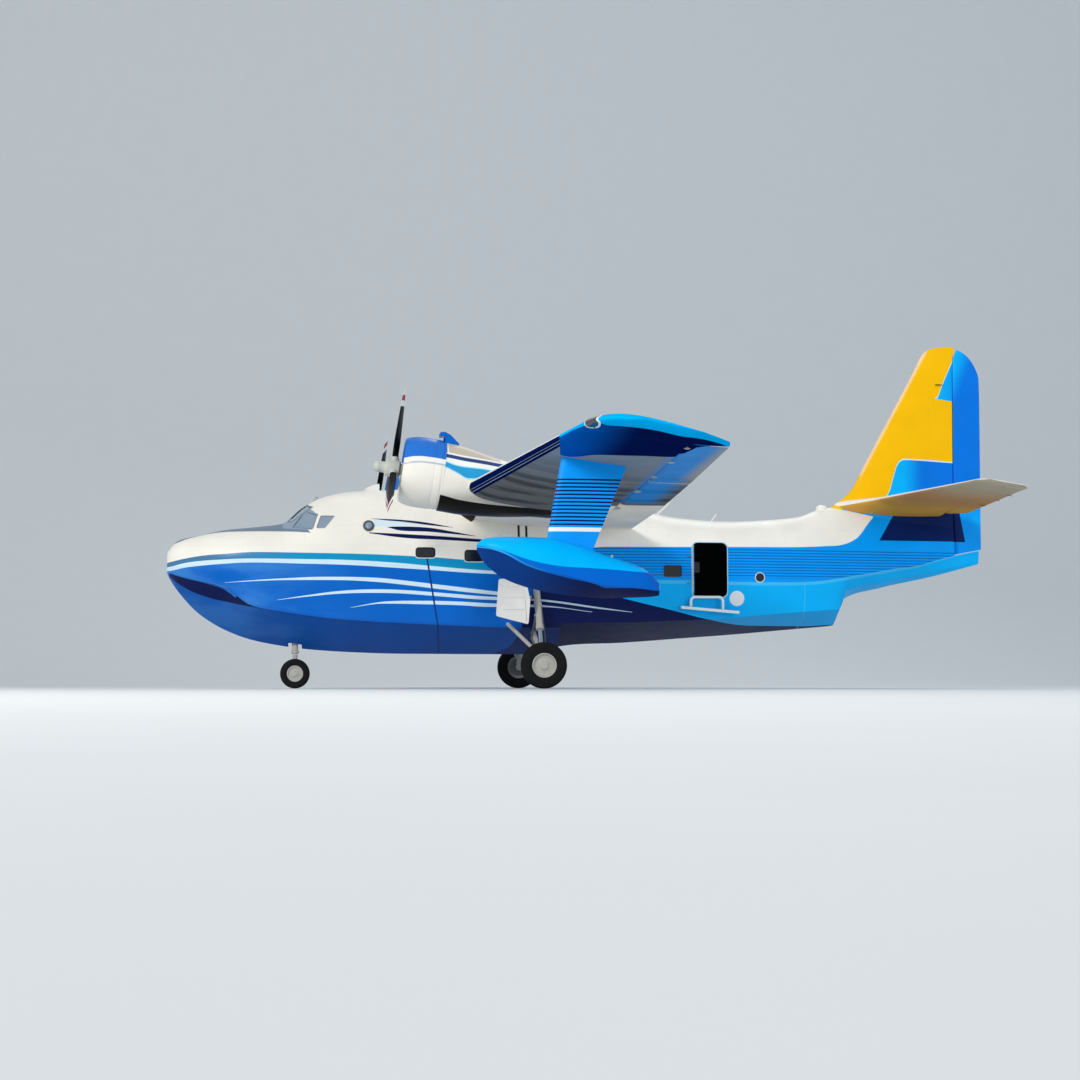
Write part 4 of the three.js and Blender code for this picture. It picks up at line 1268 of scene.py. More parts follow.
def softened(corners: Line, corner: float = 0.035) -> list[Point]:
    """A polygon whose corners are rounded off.

    Args:
        corners: the polygon.
        corner: how far from a corner its rounding starts.
    Returns:
        The outline.
    """
    result = []
    for before, point, after in zip([corners[-1], *corners[:-1]], corners, [*corners[1:], corners[0]]):
        ends = []
        for other in (before, after):
            part = corner / math.dist(point, other)
            ends.append((mix(point[0], other[0], part), mix(point[1], other[1], part)))
        for t in steps(0, 1, 4):
            weights = ((1 - t) ** 2, 2 * t * (1 - t), t * t)
            result.append(tuple(
                weights[0] * ends[0][k] + weights[1] * point[k] + weights[2] * ends[1][k] for k in (0, 1)
            ))
    return result


def rim(
    name: str, outline: Line, put: Put, width: float, proud: float, sink: float = 0.02,
) -> Piece:
    """A raised frame round an outline that follows the skin.

    Args:
        name: the piece's name.
        outline: its inner edge.
        put: turns outline points and a distance out into places.
        width: how wide the frame is.
        proud: how far it stands out.
        sink: how far its foot goes in.
    Returns:
        The closed frame.
    """
    points = split_up(outline)
    edge = proud * 0.6
    layers = (
        (0.0, -sink), (0.0, proud - edge), (edge, proud), (width - edge, proud), (width, proud - edge),
        (width, -sink),
    )
    rings = [[put(a, b, out) for a, b in grown(points, wide)] for wide, out in layers]
    return closed_up(sheet(name, [*rings, rings[0]]), caps=False)


def pane(name: str, outline: Line, put: Put, out: float) -> Piece:
    """A thin pane that follows the skin inside an outline.

    Args:
        name: the piece's name.
        outline: the opening's outline.
        put: turns outline points and a distance out into places.
        out: how far the pane stands out; below zero, in.
    Returns:
        The pane.
    """
    points = split_up(grown(outline, PANE_LAP))
    middle = [sum(p[k] for p in points) / len(points) for k in (0, 1)]
    rings = [
        [put(mix(middle[0], a, size), mix(middle[1], b, size), out) for a, b in points]
        for size in (1.0, 0.8, 0.55, 0.3, 0.08)
    ]
    return modify(solid(name, rings), "SOLIDIFY", thickness=PANE_THICKNESS, offset=0.0)


def prism(name: str, outline: Line, y1: float, y2: float) -> Piece:
    """A side outline drawn out across the aircraft."""
    return solid(name, [[at(s, y, z) for s, z in outline] for y in (y1, y2)])


@dataclass
class Hull:
    """The hull: bow, bottom, cockpit and cabin shells, tail cone, and all that is let into them."""

    # Openings are cut from inside the wall to well past the skin
    CUT_FROM = 0.58
    CUT_TO = 1.5

    finishes: Finishes
    form: HullForm = field(default_factory=HullForm)
    wall: float = 0.05
    # Windows between these stations have frames in the hull's own paint
    painted_frames: Point = (8.0, 13.0)
    # from to low high corner hands
    cabin_windows: Sequence[tuple[float, float, float, float, float, tuple[int, ...]]] = (
        (5.47, 5.91, 2.88, 3.11, 0.07, (-1, 1)),
        (6.55, 6.99, 2.80, 3.06, 0.07, (-1, 1)),
        (11.01, 11.42, 2.485, 2.745, 0.05, (-1, 1)),
        (13.13, 13.33, 2.39, 2.59, 0.099, (-1, 1)),
        (11.86, 12.30, 2.70, 2.96, 0.07, (1,)),
    )
    side_window: Line = ((3.29, 3.53), (3.48, 3.53), (3.70, 3.81), (3.39, 3.82))
    corner_pane: Line = ((2.77, 3.56), (3.21, 3.52), (3.31, 3.83), (3.05, 3.93))
    front_pane: Line = ((0.045, 3.765), (0.56, 3.70), (0.48, 4.03), (0.045, 4.11))
    # from to low high corner
    door: tuple[float, float, float, float, float] = (11.67, 12.465, 2.045, 3.26, 0.12)
    nose_well: Sequence[tuple[float, float, float]] = ((2.70, -0.15, 0.6), (3.0, 0.15, 1.42))
    porthole: tuple[float, float, float] = (4.44, 3.585, 0.10)
    heel: Line = ((17.98, 3.06), (18.8, 3.215), (18.8, 9.0), (17.98, 9.0))

    def build(self) -> None:
        """Builds and dresses the hull."""
        self.paint = HullLivery().material()
        self.bow()
        self.bottom()
        self.shells()
        self.tail_cone()
        self.glazing()
        self.trim()

    def opening(self, outline: Line, hand: int) -> Piece:
        """The cutter for an opening in one side."""
        return prism("cut", outline, hand * self.CUT_FROM, hand * self.CUT_TO)

    def doorway(self) -> list[Point]:
        """The door opening's outline."""
        start, end, low, high, corner = self.door
        return rounded((start, low), (end, high), corner)

    def skin(self, name: str, start: float, end: float) -> Piece:
        """The hull's outside between two stations, open at its ends."""
        return closed_up(sheet(name, [self.form.ring(s) for s in self.form.stations(start, end)]), caps=False)

    def dressed(self, piece: Piece, *nodes: str) -> None:
        """Paints a hull skin and hangs it on the airframe."""
        slot = "upper_paint" if "shell" in piece.name else "hull_paint"
        finished(piece, "airframe", slot, self.paint, *nodes, angle=28)

    def bow(self) -> None:
        """The bow, its sections crowded towards the blunt nose."""
        rings = [self.form.ring(t * t) for t in steps(0, math.sqrt(BOW_BULKHEAD), 34)]
        self.dressed(solid("bow_skin", rings), "hull_bow")

    def bottom(self) -> None:
        """The planing bottom with its step, cut for the nose leg."""
        piece = closed_up(self.skin("bottom_skin", BOW_BULKHEAD, self.form.breaks[-1]))
        bisected(piece, at(0, 0, FLOOR), Vector((0, 0, 1)), fill=True)
        carved(piece, [block("well", *(at(*corner) for corner in self.nose_well), 0.02)])
        self.dressed(piece, "hull_bottom")

    def shells(self) -> None:
        """The hollow shells over the floor, with windows and the doorway cut through."""
        windows = [
            (start, end, self.opening(rounded((start, low), (end, high), corner), hand))
            for start, end, low, high, corner, hands in self.cabin_windows for hand in hands
        ]
        windows.append((*self.door[:2], self.opening(self.doorway(), HANDS["left"])))
        cockpit = (BOW_BULKHEAD, COCKPIT_BULKHEAD)
        for hand in HANDS.values():
            for outline in (self.side_window, self.corner_pane):
                windows.append((*cockpit, self.opening(softened(outline), hand)))
            front = [[at(s, hand * y, z) for y, z in softened(self.front_pane)] for s in (2.4, 3.2)]
            windows.append((*cockpit, solid("cut", front)))
        for name, start, end, node in (
            ("cockpit_shell_skin", BOW_BULKHEAD, COCKPIT_BULKHEAD, "cockpit_shell"),
            ("forward_shell_skin", COCKPIT_BULKHEAD, CABIN_FRAME, "cabin_shell_forward"),
            ("aft_shell_skin", CABIN_FRAME, TAIL_BULKHEAD, "cabin_shell_aft"),
        ):
            piece = bisected(self.skin(name, start, end), at(0, 0, FLOOR), Vector((0, 0, -1)))
            piece.data.materials.append(self.paint)
            piece.data.materials.append(self.finishes.lining)
            modify(piece, "SOLIDIFY", thickness=self.wall, offset=-1.0, use_rim=True, material_offset=1)
            cutters = [cutter for low, high, cutter in windows if start < (low + high) / 2 < end]
            self.dressed(carved(piece, cutters), node)
        for station in (COCKPIT_BULKHEAD, CABIN_FRAME, TAIL_BULKHEAD):
            self.bulkhead(station)

    def bulkhead(self, station: float) -> None:
        """A frame across the cabin with a way through.

        Args:
            station: where the frame stands.
        """

        def inner(s: float) -> list[Vector]:
            """The section inside the wall, above the floor.

            Args:
                s: the station of one face.
            Returns:
                The face's ring.
            """
            shrink, middle = 0.045, 2.9
            return [
                at(s, p.y * (1 - shrink), max(mix(p.z, middle, shrink), FLOOR + 0.03))
                for p in self.form.ring(station)
            ]

        piece = solid(f"bulkhead_{round(station * 1000)}", [inner(station - 0.02), inner(station + 0.02)])
        way = rounded((-0.4, FLOOR - 0.2), (0.4, 3.55), 0.12)
        carved(piece, [solid("cut", [[at(s, y, z) for y, z in way] for s in (station - 0.2, station + 0.2)])])
        finished(piece, "airframe", "cockpit_green", self.finishes.lining)

    def tail_cone(self) -> None:
        """The tail cone, cut along its top behind the rudder's hinge."""
        rings = [self.form.ring(s) for s in self.form.stations(TAIL_BULKHEAD, 18.6)]
        piece = bisected(solid("tail_cone_skin", rings), at(0, 0, FLOOR), Vector((0, 0, -1)), fill=True)
        carved(piece, [prism("cut", self.heel, -0.5, 0.5)])
        self.dressed(piece, "tail_cone")

    def glazing(self) -> None:
        """Panes and frames of the cockpit and cabin."""
        panes: dict[str, list[Piece]] = {"cockpit": [], "cabin_left": [], "cabin_right": []}
        frames: list[Piece] = []
        plain: list[Piece] = []
        slim: list[Piece] = []
        for side, hand in HANDS.items():
            put = self.form.on_side(hand)
            for outline, width, into in ((self.side_window, 0.018, frames), (self.corner_pane, 0.014, slim)):
                soft = softened(outline)
                panes["cockpit"].append(pane("pane", soft, put, -0.022))
                into.append(rim("frame", soft, put, width, 0.01))
            soft = softened(self.front_pane)
            panes["cockpit"].append(pane("pane", soft, self.form.on_front(hand), -0.02))
            slim.append(rim("frame", soft, self.form.on_front(hand), 0.016, 0.01))
            for start, end, low, high, corner, hands in self.cabin_windows:
                if hand in hands:
                    soft = rounded((start, low), (end, high), corner)
                    panes[f"cabin_{side}"].append(pane("pane", soft, put, -0.03))
                    into = plain if self.painted_frames[0] <= start <= self.painted_frames[1] else frames
                    into.append(rim("frame", soft, put, 0.016, 0.006))
        glass = self.finishes.glass
        piece = joined("cockpit_panes", panes["cockpit"])
        finished(piece, "airframe", "window_glass", glass, "cockpit_glass")
        for side in HANDS:
            piece = joined(f"cabin_panes_{side}", panes[f"cabin_{side}"])
            finished(piece, "airframe", "window_glass", self.finishes.dark_glass, f"cabin_glass_{side}")
        finished(joined("window_frames", frames), "airframe", "upper_paint", self.finishes.white)
        finished(joined("windscreen_frames", slim), "airframe", "window_glass", self.finishes.frame)
        finished(joined("aft_window_frames", plain), "airframe", "hull_paint", self.paint)

    def trim(self) -> None:
        """The door frame and seal, the round portholes and the chine rails."""
        outline, port = self.doorway(), self.form.on_side(-1)
        frame_piece = rim("door_frame", outline, port, 0.021, 0.012, 0.04)
        finished(frame_piece, "airframe", "ladder_paint", self.finishes.edge)
        seal = rim("door_seal", grown(outline, -0.004), port, 0.01, 0.004, 0.05)
        finished(seal, "airframe", "black_paint", self.finishes.black)
        s, z, radius = self.porthole
        for side, hand in HANDS.items():
            put = self.form.on_side(hand)
            ring = rim(f"porthole_ring_{side}", grown(circle((s, z), radius, 32), -0.02), put, 0.045, 0.03)
            finished(ring, "airframe", "gear_metal", self.finishes.casting)
            dome = [
                [put(*spot, out) for spot in circle((s, z), radius * size, 32)]
                for size, out in ((0.86, -0.02), (0.84, 0.02), (0.7, 0.045), (0.45, 0.062), (0.15, 0.07))
            ]
            finished(solid(f"porthole_bulge_{side}", dome), "airframe", "window_glass", self.finishes.glass)
            self.rail(side, hand)

    def rail(self, side: str, hand: int) -> None:
        """The spray rail along one chine, forward of the step.

        Args:
            side: the side's name.
            hand: -1 to port, 1 to starboard.
        """
        rings = []
        for station in self.form.stations(0.12, 8.68):
            y, z = self.form.section(station)[self.form.floor_steps]
            size = min(1.0, (station - 0.1) / 0.5, (8.75 - station) / 0.4)
            rings.append([
                at(station, hand * (y - 0.02), z + 0.012), at(station, hand * (y + 0.03 * size), z + 0.004),
                at(station, hand * (y + 0.034 * size), z - 0.012), at(station, hand * (y - 0.02), z - 0.02),
            ])
        finished(solid(f"spray_rail_{side}", rings), "airframe", "hull_paint", self.paint)


def pair(
    piece: Piece, name: str, body: str, slot: str, finish: Material, *nodes: str, angle: float = SMOOTH_ANGLE
) -> None:
    """Finishes a left-hand piece and its mirrored twin; {} stands for the side in names.

    Args:
        piece: the left-hand piece.
        name: the name of both.
        body: the body that carries them.
        slot: the record's material slot.
        finish: their material.
        nodes: the CAD nodes that they stand for.
        angle: edges flatter than this many degrees are shaded smooth.
    """
    right = twin(piece, name.format("right"), MIRROR)
    left = named(piece, name.format("left"))
    for side, each in (("right", right), ("left", left)):
        finished(each, body.format(side), slot, finish, *(node.format(side) for node in nodes), angle=angle)


@dataclass(frozen=True)
class Rib:
    """One aerofoil section: a four-digit thickness form on a parabolic camber line."""

    y: float
    lead: float
    chord: float
    height: float
    incidence: float
    thickness: float
    camber: float = 0.0

    def half(self, x: float) -> float:
        """Half the thickness at a part of the chord."""
        form = 0.2969 * math.sqrt(max(x, 0)) - 0.126 * x - 0.3516 * x ** 2 + 0.2843 * x ** 3 - 0.1036 * x ** 4
        return 5 * self.thickness * form + x * 0.004 / self.chord

    def mean(self, x: float) -> float:
        """The camber line's height at a part of the chord.

        Args:
            x: the part of the chord.
        Returns:
            The height, as a part of the chord.
        """
        if x < 0.3:
            return self.camber / 0.09 * (0.6 * x - x * x)
        return self.camber / 0.49 * (0.4 + 0.6 * x - x * x)

    def put(self, x: float, up: float) -> Vector:
        """A point of the section, x along the chord and up across it.

        Args:
            x: the part of the chord.
            up: the height, as a part of the chord.
        Returns:
            The point.
        """
        c, s = math.cos(math.radians(self.incidence)), math.sin(math.radians(self.incidence))
        aft, rise = x * c + up * s, up * c - x * s
        return at(self.lead + self.chord * aft, self.y, self.height + self.chord * rise)

    def part(self, station: float) -> float:
        """The part of the chord that lies at a station."""
        return (station - self.lead) / (self.chord * math.cos(math.radians(self.incidence)))

    def skin(self, x: float, sign: int) -> Vector:
        """A point of the upper or lower skin."""
        return self.put(x, self.mean(x) + sign * self.half(x))

    def body(self, end: float = 1.0, count: int = 22) -> list[Vector]:
        """The ring from the nose back to a part of the chord."""
        parts = [end * t * t for t in steps(0, 1, count)]
        return [self.skin(x, 1) for x in reversed(parts)] + [self.skin(x, -1) for x in parts[1:]]

    def tail(self, start: float) -> list[Vector]:
        """A control surface's ring, with a round nose on its hinge.

        Args:
            start: the part of the chord at the hinge.
        Returns:
            The ring.
        """
        reach, middle = self.half(start), self.mean(start)
        angles = [math.radians(a) for a in steps(105, 255, 10)]
        nose = [self.put(start + reach * math.cos(t), middle + reach * math.sin(t)) for t in angles]
        rest = [mix(start, 1, t) for t in steps(0.06, 1, 8)]
        return nose + [self.skin(x, -1) for x in rest] + [self.skin(x, 1) for x in reversed(rest)]


@dataclass
class Surfaces:
    """Ribs along a span, straight between the rows and faired towards the tip."""

    rows: Sequence[Sequence[float]]
    straight_to: float
    camber: float = 0.0
    gap: float = HINGE_GAP

    def __post_init__(self) -> None:
        """Fairs the tip."""
        self.ends = Faired([row for row in self.rows if row[0] >= self.straight_to])

    def rib(self, y: float) -> Rib:
        """The rib at a distance from the middle, on the left-hand side.

        Args:
            y: the distance from the middle.
        Returns:
            The rib.
        """
        if y > self.straight_to:
            return Rib(-y, *self.ends.row(y)[1:], self.camber)
        for a, b in zip(self.rows, self.rows[1:]):
            if y <= b[0]:
                part = (y - a[0]) / (b[0] - a[0])
                return Rib(-y, *(mix(p, q, part) for p, q in zip(a[1:], b[1:])), self.camber)
        raise ValueError(y)

    def fixed(self, y: float, station: float) -> list[Vector]:
        """The part of a rib ahead of a hinge.

        Args:
            y: the rib's distance from the middle.
            station: where the hinge is.
        Returns:
            The ring.
        """
        rib = self.rib(y)
        hinge = rib.part(station)
        return rib.body(hinge - rib.half(hinge) - self.gap / rib.chord)

    def between(self, start: float, end: float, pitch: float = 0.5) -> list[float]:
        """Where ribs stand between two others, with the table's own among them."""
        own = [row[0] for row in self.rows if start < row[0] < end]
        return sorted({*steps(start, end, max(2, round((end - start) / pitch))), *own})

    def hinged(self, name: str, start: float, end: float, hinge: Callable[[float], float]) -> Piece:
        """A control surface, its nose straight along its hinge.

        Args:
            name: the piece's name.
            start: the inner end's distance from the middle.
            end: the outer end's distance from the middle.
            hinge: the hinge's station at a distance from the middle.
        Returns:
            The surface.
        """

        def centre(y: float) -> Vector:
            """The hinge's place in a rib.

            Args:
                y: the rib's distance from the middle.
            Returns:
                The hinge's centre.
            """
            rib = self.rib(y)
            part = rib.part(hinge(y))
            return rib.put(part, rib.mean(part))

        rings = []
        for y in self.between(start, end):
            rib = self.rib(y)
            shift = centre(start).lerp(centre(end), (y - start) / (end - start)) - centre(y)
            rings.append([p + shift for p in rib.tail(rib.part(hinge(y)))])
        return solid(name, rings)

    def tip(self, name: str, start: float, end: float) -> Piece:
        """The whole-chord tip with a rounded edge.

        Args:
            name: the piece's name.
            start: the inner end's distance from the middle.
            end: the half-span.
        Returns:
            The tip.
        """
        rings = []
        for y in [*steps(start, end - 0.08, 10), *(end - 0.08 * (1 - t) ** 2 for t in steps(0.15, 0.96, 7))]:
            rib = self.rib(y)
            thin = math.sqrt(max(0.02, 1 - max(0.0, (y - end + 0.1) / 0.1) ** 2))
            rings.append(replace(rib, thickness=rib.thickness * thin).body())
        return solid(name, rings)


@dataclass(frozen=True)
class WingLivery:
    """Cream on riveted skin, grey painted shade underneath, blue towards the tips."""

    azure_from: Line = (
        (7.2, 12.5), (7.366, 12.07), (7.384, 11.92), (7.448, 11.39), (7.5, 11.0), (8.12, 11.72),
        (8.77, 12.12), (9.4, 12.42), (9.5, 13.4), (9.8, 13.8), (10.3, 13.9),
    )
    tip_edge: Line = (
        (7.3, 4.43), (7.55, 4.44), (7.75, 4.43), (7.9, 4.39), (8.065, 4.368), (8.255, 4.346), (8.579, 4.301),
        (9.102, 4.212), (9.435, 4.173), (10.01, 4.092), (10.2, 4.06),
    )
    lead: float = 6.36
    joint: float = 4.9
    sweep: float = 0.1393

    def material(self) -> Material:
        """Builds the wing's paint.

        Returns:
            The paint.
        """
        # Enamel dulled by weather: no highlight, with riveted joints
        paint = Painter("wing_enamel_on_riveted_skin", Hue.CREAM)
        down = paint.facing("Z")
        below = paint.less(down, -0.2)
        # The cream underside is painted grey: painted shade
        paint.lay(Hue.UNDERSIDE, below)
        # Painted shade darkens the inner underside; the streaks over it are partly exhaust soot and partly
        # painted shadow
        streaks = paint.fade(paint.cloud(1.6, 5.0, (0.25, 1.2, 1)), 0.42, 0.6)
        paint.lay(Hue.BROWN, below, paint.fade(paint.aside, 11.0, 6.5), strength=0.55)
        paint.lay(Hue.SOOT, below, streaks, paint.fade(paint.aside, 11.0, 7.0), strength=0.6)
        # A navy band under the leading edge, with two pale lines on it: painted reflections
        behind = paint.sum("SUBTRACT", paint.station, self.lead)
        outboard = paint.sum("MAXIMUM", paint.sum("SUBTRACT", paint.aside, self.joint), 0.0)
        sweep = paint.sum("MULTIPLY", outboard, self.sweep)
        behind = paint.sum("SUBTRACT", behind, sweep)
        under_nose = paint.both(paint.less(down, 0.6), paint.more(paint.aside, self.joint))
        for start, end, hue in (
            (-0.2, 0.115, Hue.NAVY), (0.02, 0.025, Hue.SKY_GLASS), (0.055, 0.067, Hue.SKY_GLASS)
        ):
            paint.lay(hue, under_nose, paint.between(behind, start, end))
        # On the flap and aileron undersides: a blue patch, a painted reflection of the float, and a paler
        # strip near the trailing edge where the painted shade is lighter
        reach = paint.fade(paint.aside, 5.7, 6.5)
        paint.lay(
            Hue.AZURE, below, reach, paint.fade(paint.station, 9.15, 9.45),
            paint.fade(paint.station, 10.2, 9.75), strength=0.7,
        )
        paint.lay(
            Hue.BEIGE, below, paint.fade(paint.station, 9.8, 10.1), paint.fade(paint.aside, 8.6, 10.5),
            strength=0.5,
        )
        # Behind the nacelles and beside the hull the centre section's underside keeps the hull's cream,
        # without the painted shade
        paint.lay(Hue.CREAM, below, paint.fade(paint.aside, 5.8, 5.6), paint.fade(paint.station, 8.2, 8.7))
        paint.lay(Hue.CREAM, below, paint.fade(paint.aside, 3.1, 2.9))
        outer = paint.over(self.azure_from, height=paint.aside)
        paint.lay(Hue.SKY, outer)
        # Under the blue tip the underside is navy, mid blue further forward: painted shade on the blue paint
        shaded = paint.both(outer, paint.less(down, -0.02), paint.under(self.tip_edge))
        paint.lay(Hue.NAVY, shaded)
        paint.lay(Hue.MID_BLUE, shaded, paint.fade(paint.station, 8.5, 7.5), strength=0.75)
        return paint.done(Gloss(0.4, coat=0.0, specular=0.0), Seams.WING, 0.1)


@dataclass
class Wing:
    """The wing with its flaps, ailerons, tips and leading-edge lights."""

    finishes: Finishes
    hinge: float = 9.47
    root: float = 1.31
    joint: float = 4.9
    tip: float = 13.78
    half_span: float = 14.73
    flap: Point = (1.33, 9.2)
    aileron: Point = (9.24, 13.74)
    brackets: Sequence[float] = (2.4, 5.2, 7.9, 9.9, 11.7, 13.3)
    landing_light: tuple[float, float, float] = (7.73, -13.87, 4.425)
    tip_light: tuple[float, float, float] = (8.02, -14.41, 4.50)
    surfaces: Surfaces = field(default_factory=lambda: Surfaces((
        # y lead chord height incidence thickness
        (0.0, 6.36, 3.97, 4.015, 7, 0.17),
        (4.9, 6.36, 3.97, 4.158, 7, 0.165),
        (13.78, 7.597, 2.47, 4.48, 9, 0.13),
        (14.25, 7.745, 2.24, 4.492, 9.5, 0.11),
        (14.55, 7.96, 1.83, 4.48, 10.5, 0.085),
        (14.73, 8.38, 1.06, 4.44, 11, 0.05),
    ), 13.78, 0.02))

    def build(self) -> None:
        """Builds and dresses the wing."""
        paint = WingLivery().material()
        ribs = self.surfaces
        centre = [solid("part", [ribs.fixed(y, self.hinge) for y in ribs.between(self.root, self.joint)])]
        centre.append(twin(centre[0], "part", MIRROR))
        half = [ribs.rib(y).body() for y in (self.root, 0.65, 0.0)]
        mirrored = [[Vector((p.x, -p.y, p.z)) for p in ring] for ring in half[1::-1]]
        centre.append(solid("part", half + mirrored))
        finished(joined("wing_centre_skin", centre), "airframe", "hull_paint", paint, "wing_centre")
        start = self.joint + 0.001
        outer = solid("outer", [ribs.fixed(y, self.hinge) for y in ribs.between(start, self.tip - 0.001)])
        pair(outer, "wing_outer_skin_{}", "airframe", "hull_paint", paint, "wing_outer_{}")
        tip = ribs.tip("tip", self.tip, self.half_span)
        pair(tip, "wing_tip_skin_{}", "airframe", "hull_paint", paint, "wing_tip_{}")
        for kind, (low, high) in (("flap", self.flap), ("aileron", self.aileron)):
            piece = ribs.hinged(kind, low, high, lambda y: self.hinge)
            pair(piece, kind + "_skin_{}", kind + "_{}", "hull_paint", paint, kind + "_{}")
        self.fittings()

    def fittings(self) -> None:
        """Hinge fairings under the wing, the tip lights and the white leading-edge caps."""
        fairings = []
        for y in self.brackets:
            rib = self.surfaces.rib(y)
            part = rib.part(self.hinge)
            rings = []
            for t in steps(0, 1, 12):
                x = mix(part - 0.05, part, t)
                size = max(0.08, math.sin(math.pi * min(1.0, 0.08 + t * 0.86)) ** 0.6)
                middle = rib.skin(x, -1)
                rings.append([
                    middle + Vector((0, math.cos(a) * 0.02 * size, math.sin(a) * 0.032 * size + 0.015))
                    for a in turns(16)
                ])
            fairings.append(solid("fairing", rings))
        pair(joined("fairings", fairings), "hinge_fairings_{}", "airframe", "gear_metal", self.finishes.grey)
        for name, start, stop, reach, lift, slot, finish in (
            ("leading_edge_cap_{}", 13.70, 14.24, 0.06, 0.006, "hull_paint", self.finishes.white),
            ("leading_edge_lens_{}", 13.755, 14.185, 0.046, 0.009, "window_glass", self.finishes.dark_glass),
        ):
            cap = []
            for y in steps(start, stop, 12):
                rib = self.surfaces.rib(y)
                end = 0.006 + reach * math.sin(math.pi * (y - start + 0.03) / (stop - start + 0.06)) ** 0.7
                thick = rib.thickness * (1 + lift * 9)
                cap.append(replace(rib, lead=rib.lead - lift, thickness=thick).body(end, 8))
            pair(solid("cap", cap), name, "airframe", slot, finish)
        profile = ((-0.05, 0.004), (-0.04, 0.03), (-0.01, 0.048), (0.05, 0.05), (0.06, 0.002))
        lamp = turned("lamp", profile, 24, placed(*self.landing_light))
        pair(lamp, "landing_light_{}", "airframe", "window_glass", self.finishes.black)
        profile = ((-0.03, 0.003), (-0.02, 0.02), (0.01, 0.03), (0.07, 0.024), (0.1, 0.003))
        light = turned("light", profile, 20, placed(*self.tip_light))
        pair(light, "tip_light_{}", "airframe", "window_glass", self.finishes.lamp)


@dataclass(frozen=True)
class NacelleLivery:
    """Cream and blue enamel on the cowlings and nacelles, black underneath: partly exhaust soot, partly
    painted shade.
    """

    navy_line: Line = (
        (5.70, 4.86), (5.972, 4.825), (6.248, 4.77), (6.492, 4.735), (6.739, 4.70), (6.984, 4.66),
        (8.0, 4.50),
    )
    white_foot: Line = ((5.70, 4.66), (5.863, 4.65), (6.105, 4.57), (6.52, 4.50), (7.018, 4.46), (8.0, 4.40))
    teal_top: Line = (
        (5.70, 4.68), (5.863, 4.662), (6.105, 4.58), (6.52, 4.527), (6.729, 4.505), (6.85, 4.48)
    )
    teal_foot: Line = (
        (5.70, 4.60), (5.851, 4.573), (6.103, 4.45), (6.377, 4.322), (6.586, 4.343), (6.711, 4.398),
        (6.85, 4.48),
    )
    black_top: Line = ((5.60, 4.01), (5.77, 3.99), (6.185, 3.886), (8.03, 3.71), (9.0, 3.62))
    cobalt_foot: Line = (
        (4.6, 4.72), (5.06, 4.742), (5.2, 4.766), (5.35, 4.772), (5.55, 4.754), (5.76, 4.726), (5.9, 4.70)
    )

    def nacelle(self) -> Material:
        """Builds the nacelle's paint.

        Returns:
            The paint.
        """
        # Sprayed enamel: satin; black underneath, partly exhaust soot and partly painted shade
        paint = Painter("nacelle_enamel", Hue.CREAM)
        # The cream top behind the cowling is beige: painted shade
        paint.lay(Hue.BEIGE, paint.over(self.navy_line), paint.less(paint.station, 7.05))
        height = paint.sum("SUBTRACT", paint.level(self.navy_line), paint.z)
        above = paint.less(height, 0.0)
        paint.lay(Hue.WHITE, above, paint.less(paint.station, 5.955))
        paint.lay(Hue.COWL_BLUE, above, paint.less(paint.station, 5.925))
        paint.lay(Hue.WHITE, paint.between(height, -0.04, 0.0))
        paint.lay(Hue.WHITE, paint.band(self.navy_line, self.white_foot))
        paint.lay(Hue.SLATE_NAVY, paint.between(height, 0.0, 0.08))
        up = tuple((s, z + 0.025) for s, z in self.teal_top)
        down = tuple((s, z - 0.03) for s, z in self.teal_foot)
        paint.lay(Hue.ICE, paint.band(up, down))
        paint.lay(Hue.LAGOON, paint.band(self.teal_top, self.teal_foot))
        # Black under the nacelle, darker in blotches towards its bottom: partly exhaust soot, partly painted
        # shade
        paint.lay(Hue.OIL, paint.under(self.black_top))
        soot_and_shade = paint.both(paint.fade(paint.z, 4.15, 3.85), paint.cloud(3.0, 5.0, (0.3, 1, 1)))
        paint.lay(Hue.SOOT, soot_and_shade, strength=0.7)
        return paint.done(Gloss(0.34), wear=0.08)

    def cowl(self) -> Material:
        """Builds the cowling's paint.

        Returns:
            The paint.
        """
        # Polished enamel on spun aluminium: a sharper highlight than the skin round it
        paint = Painter("cowling_enamel", Hue.CREAM)
        height = paint.sum("SUBTRACT", paint.level(self.cobalt_foot), paint.z)
        paint.lay(Hue.COWL_BLUE, paint.less(height, 0.0))
        paint.lay(Hue.WHITE, paint.between(height, 0.0, 0.09))
        # A soft grey line under the white band: painted shadow
        paint.lay(Hue.SKY_GLASS, paint.between(height, 0.10, 0.14), strength=0.6)
        return paint.done(Gloss(0.28), wear=0.08)

    def scoop(self) -> Material:
        """Builds the air scoop's paint."""
        # The cowling's polished enamel in one blue
        return Painter("scoop_enamel", Hue.COBALT).done(Gloss(0.28))


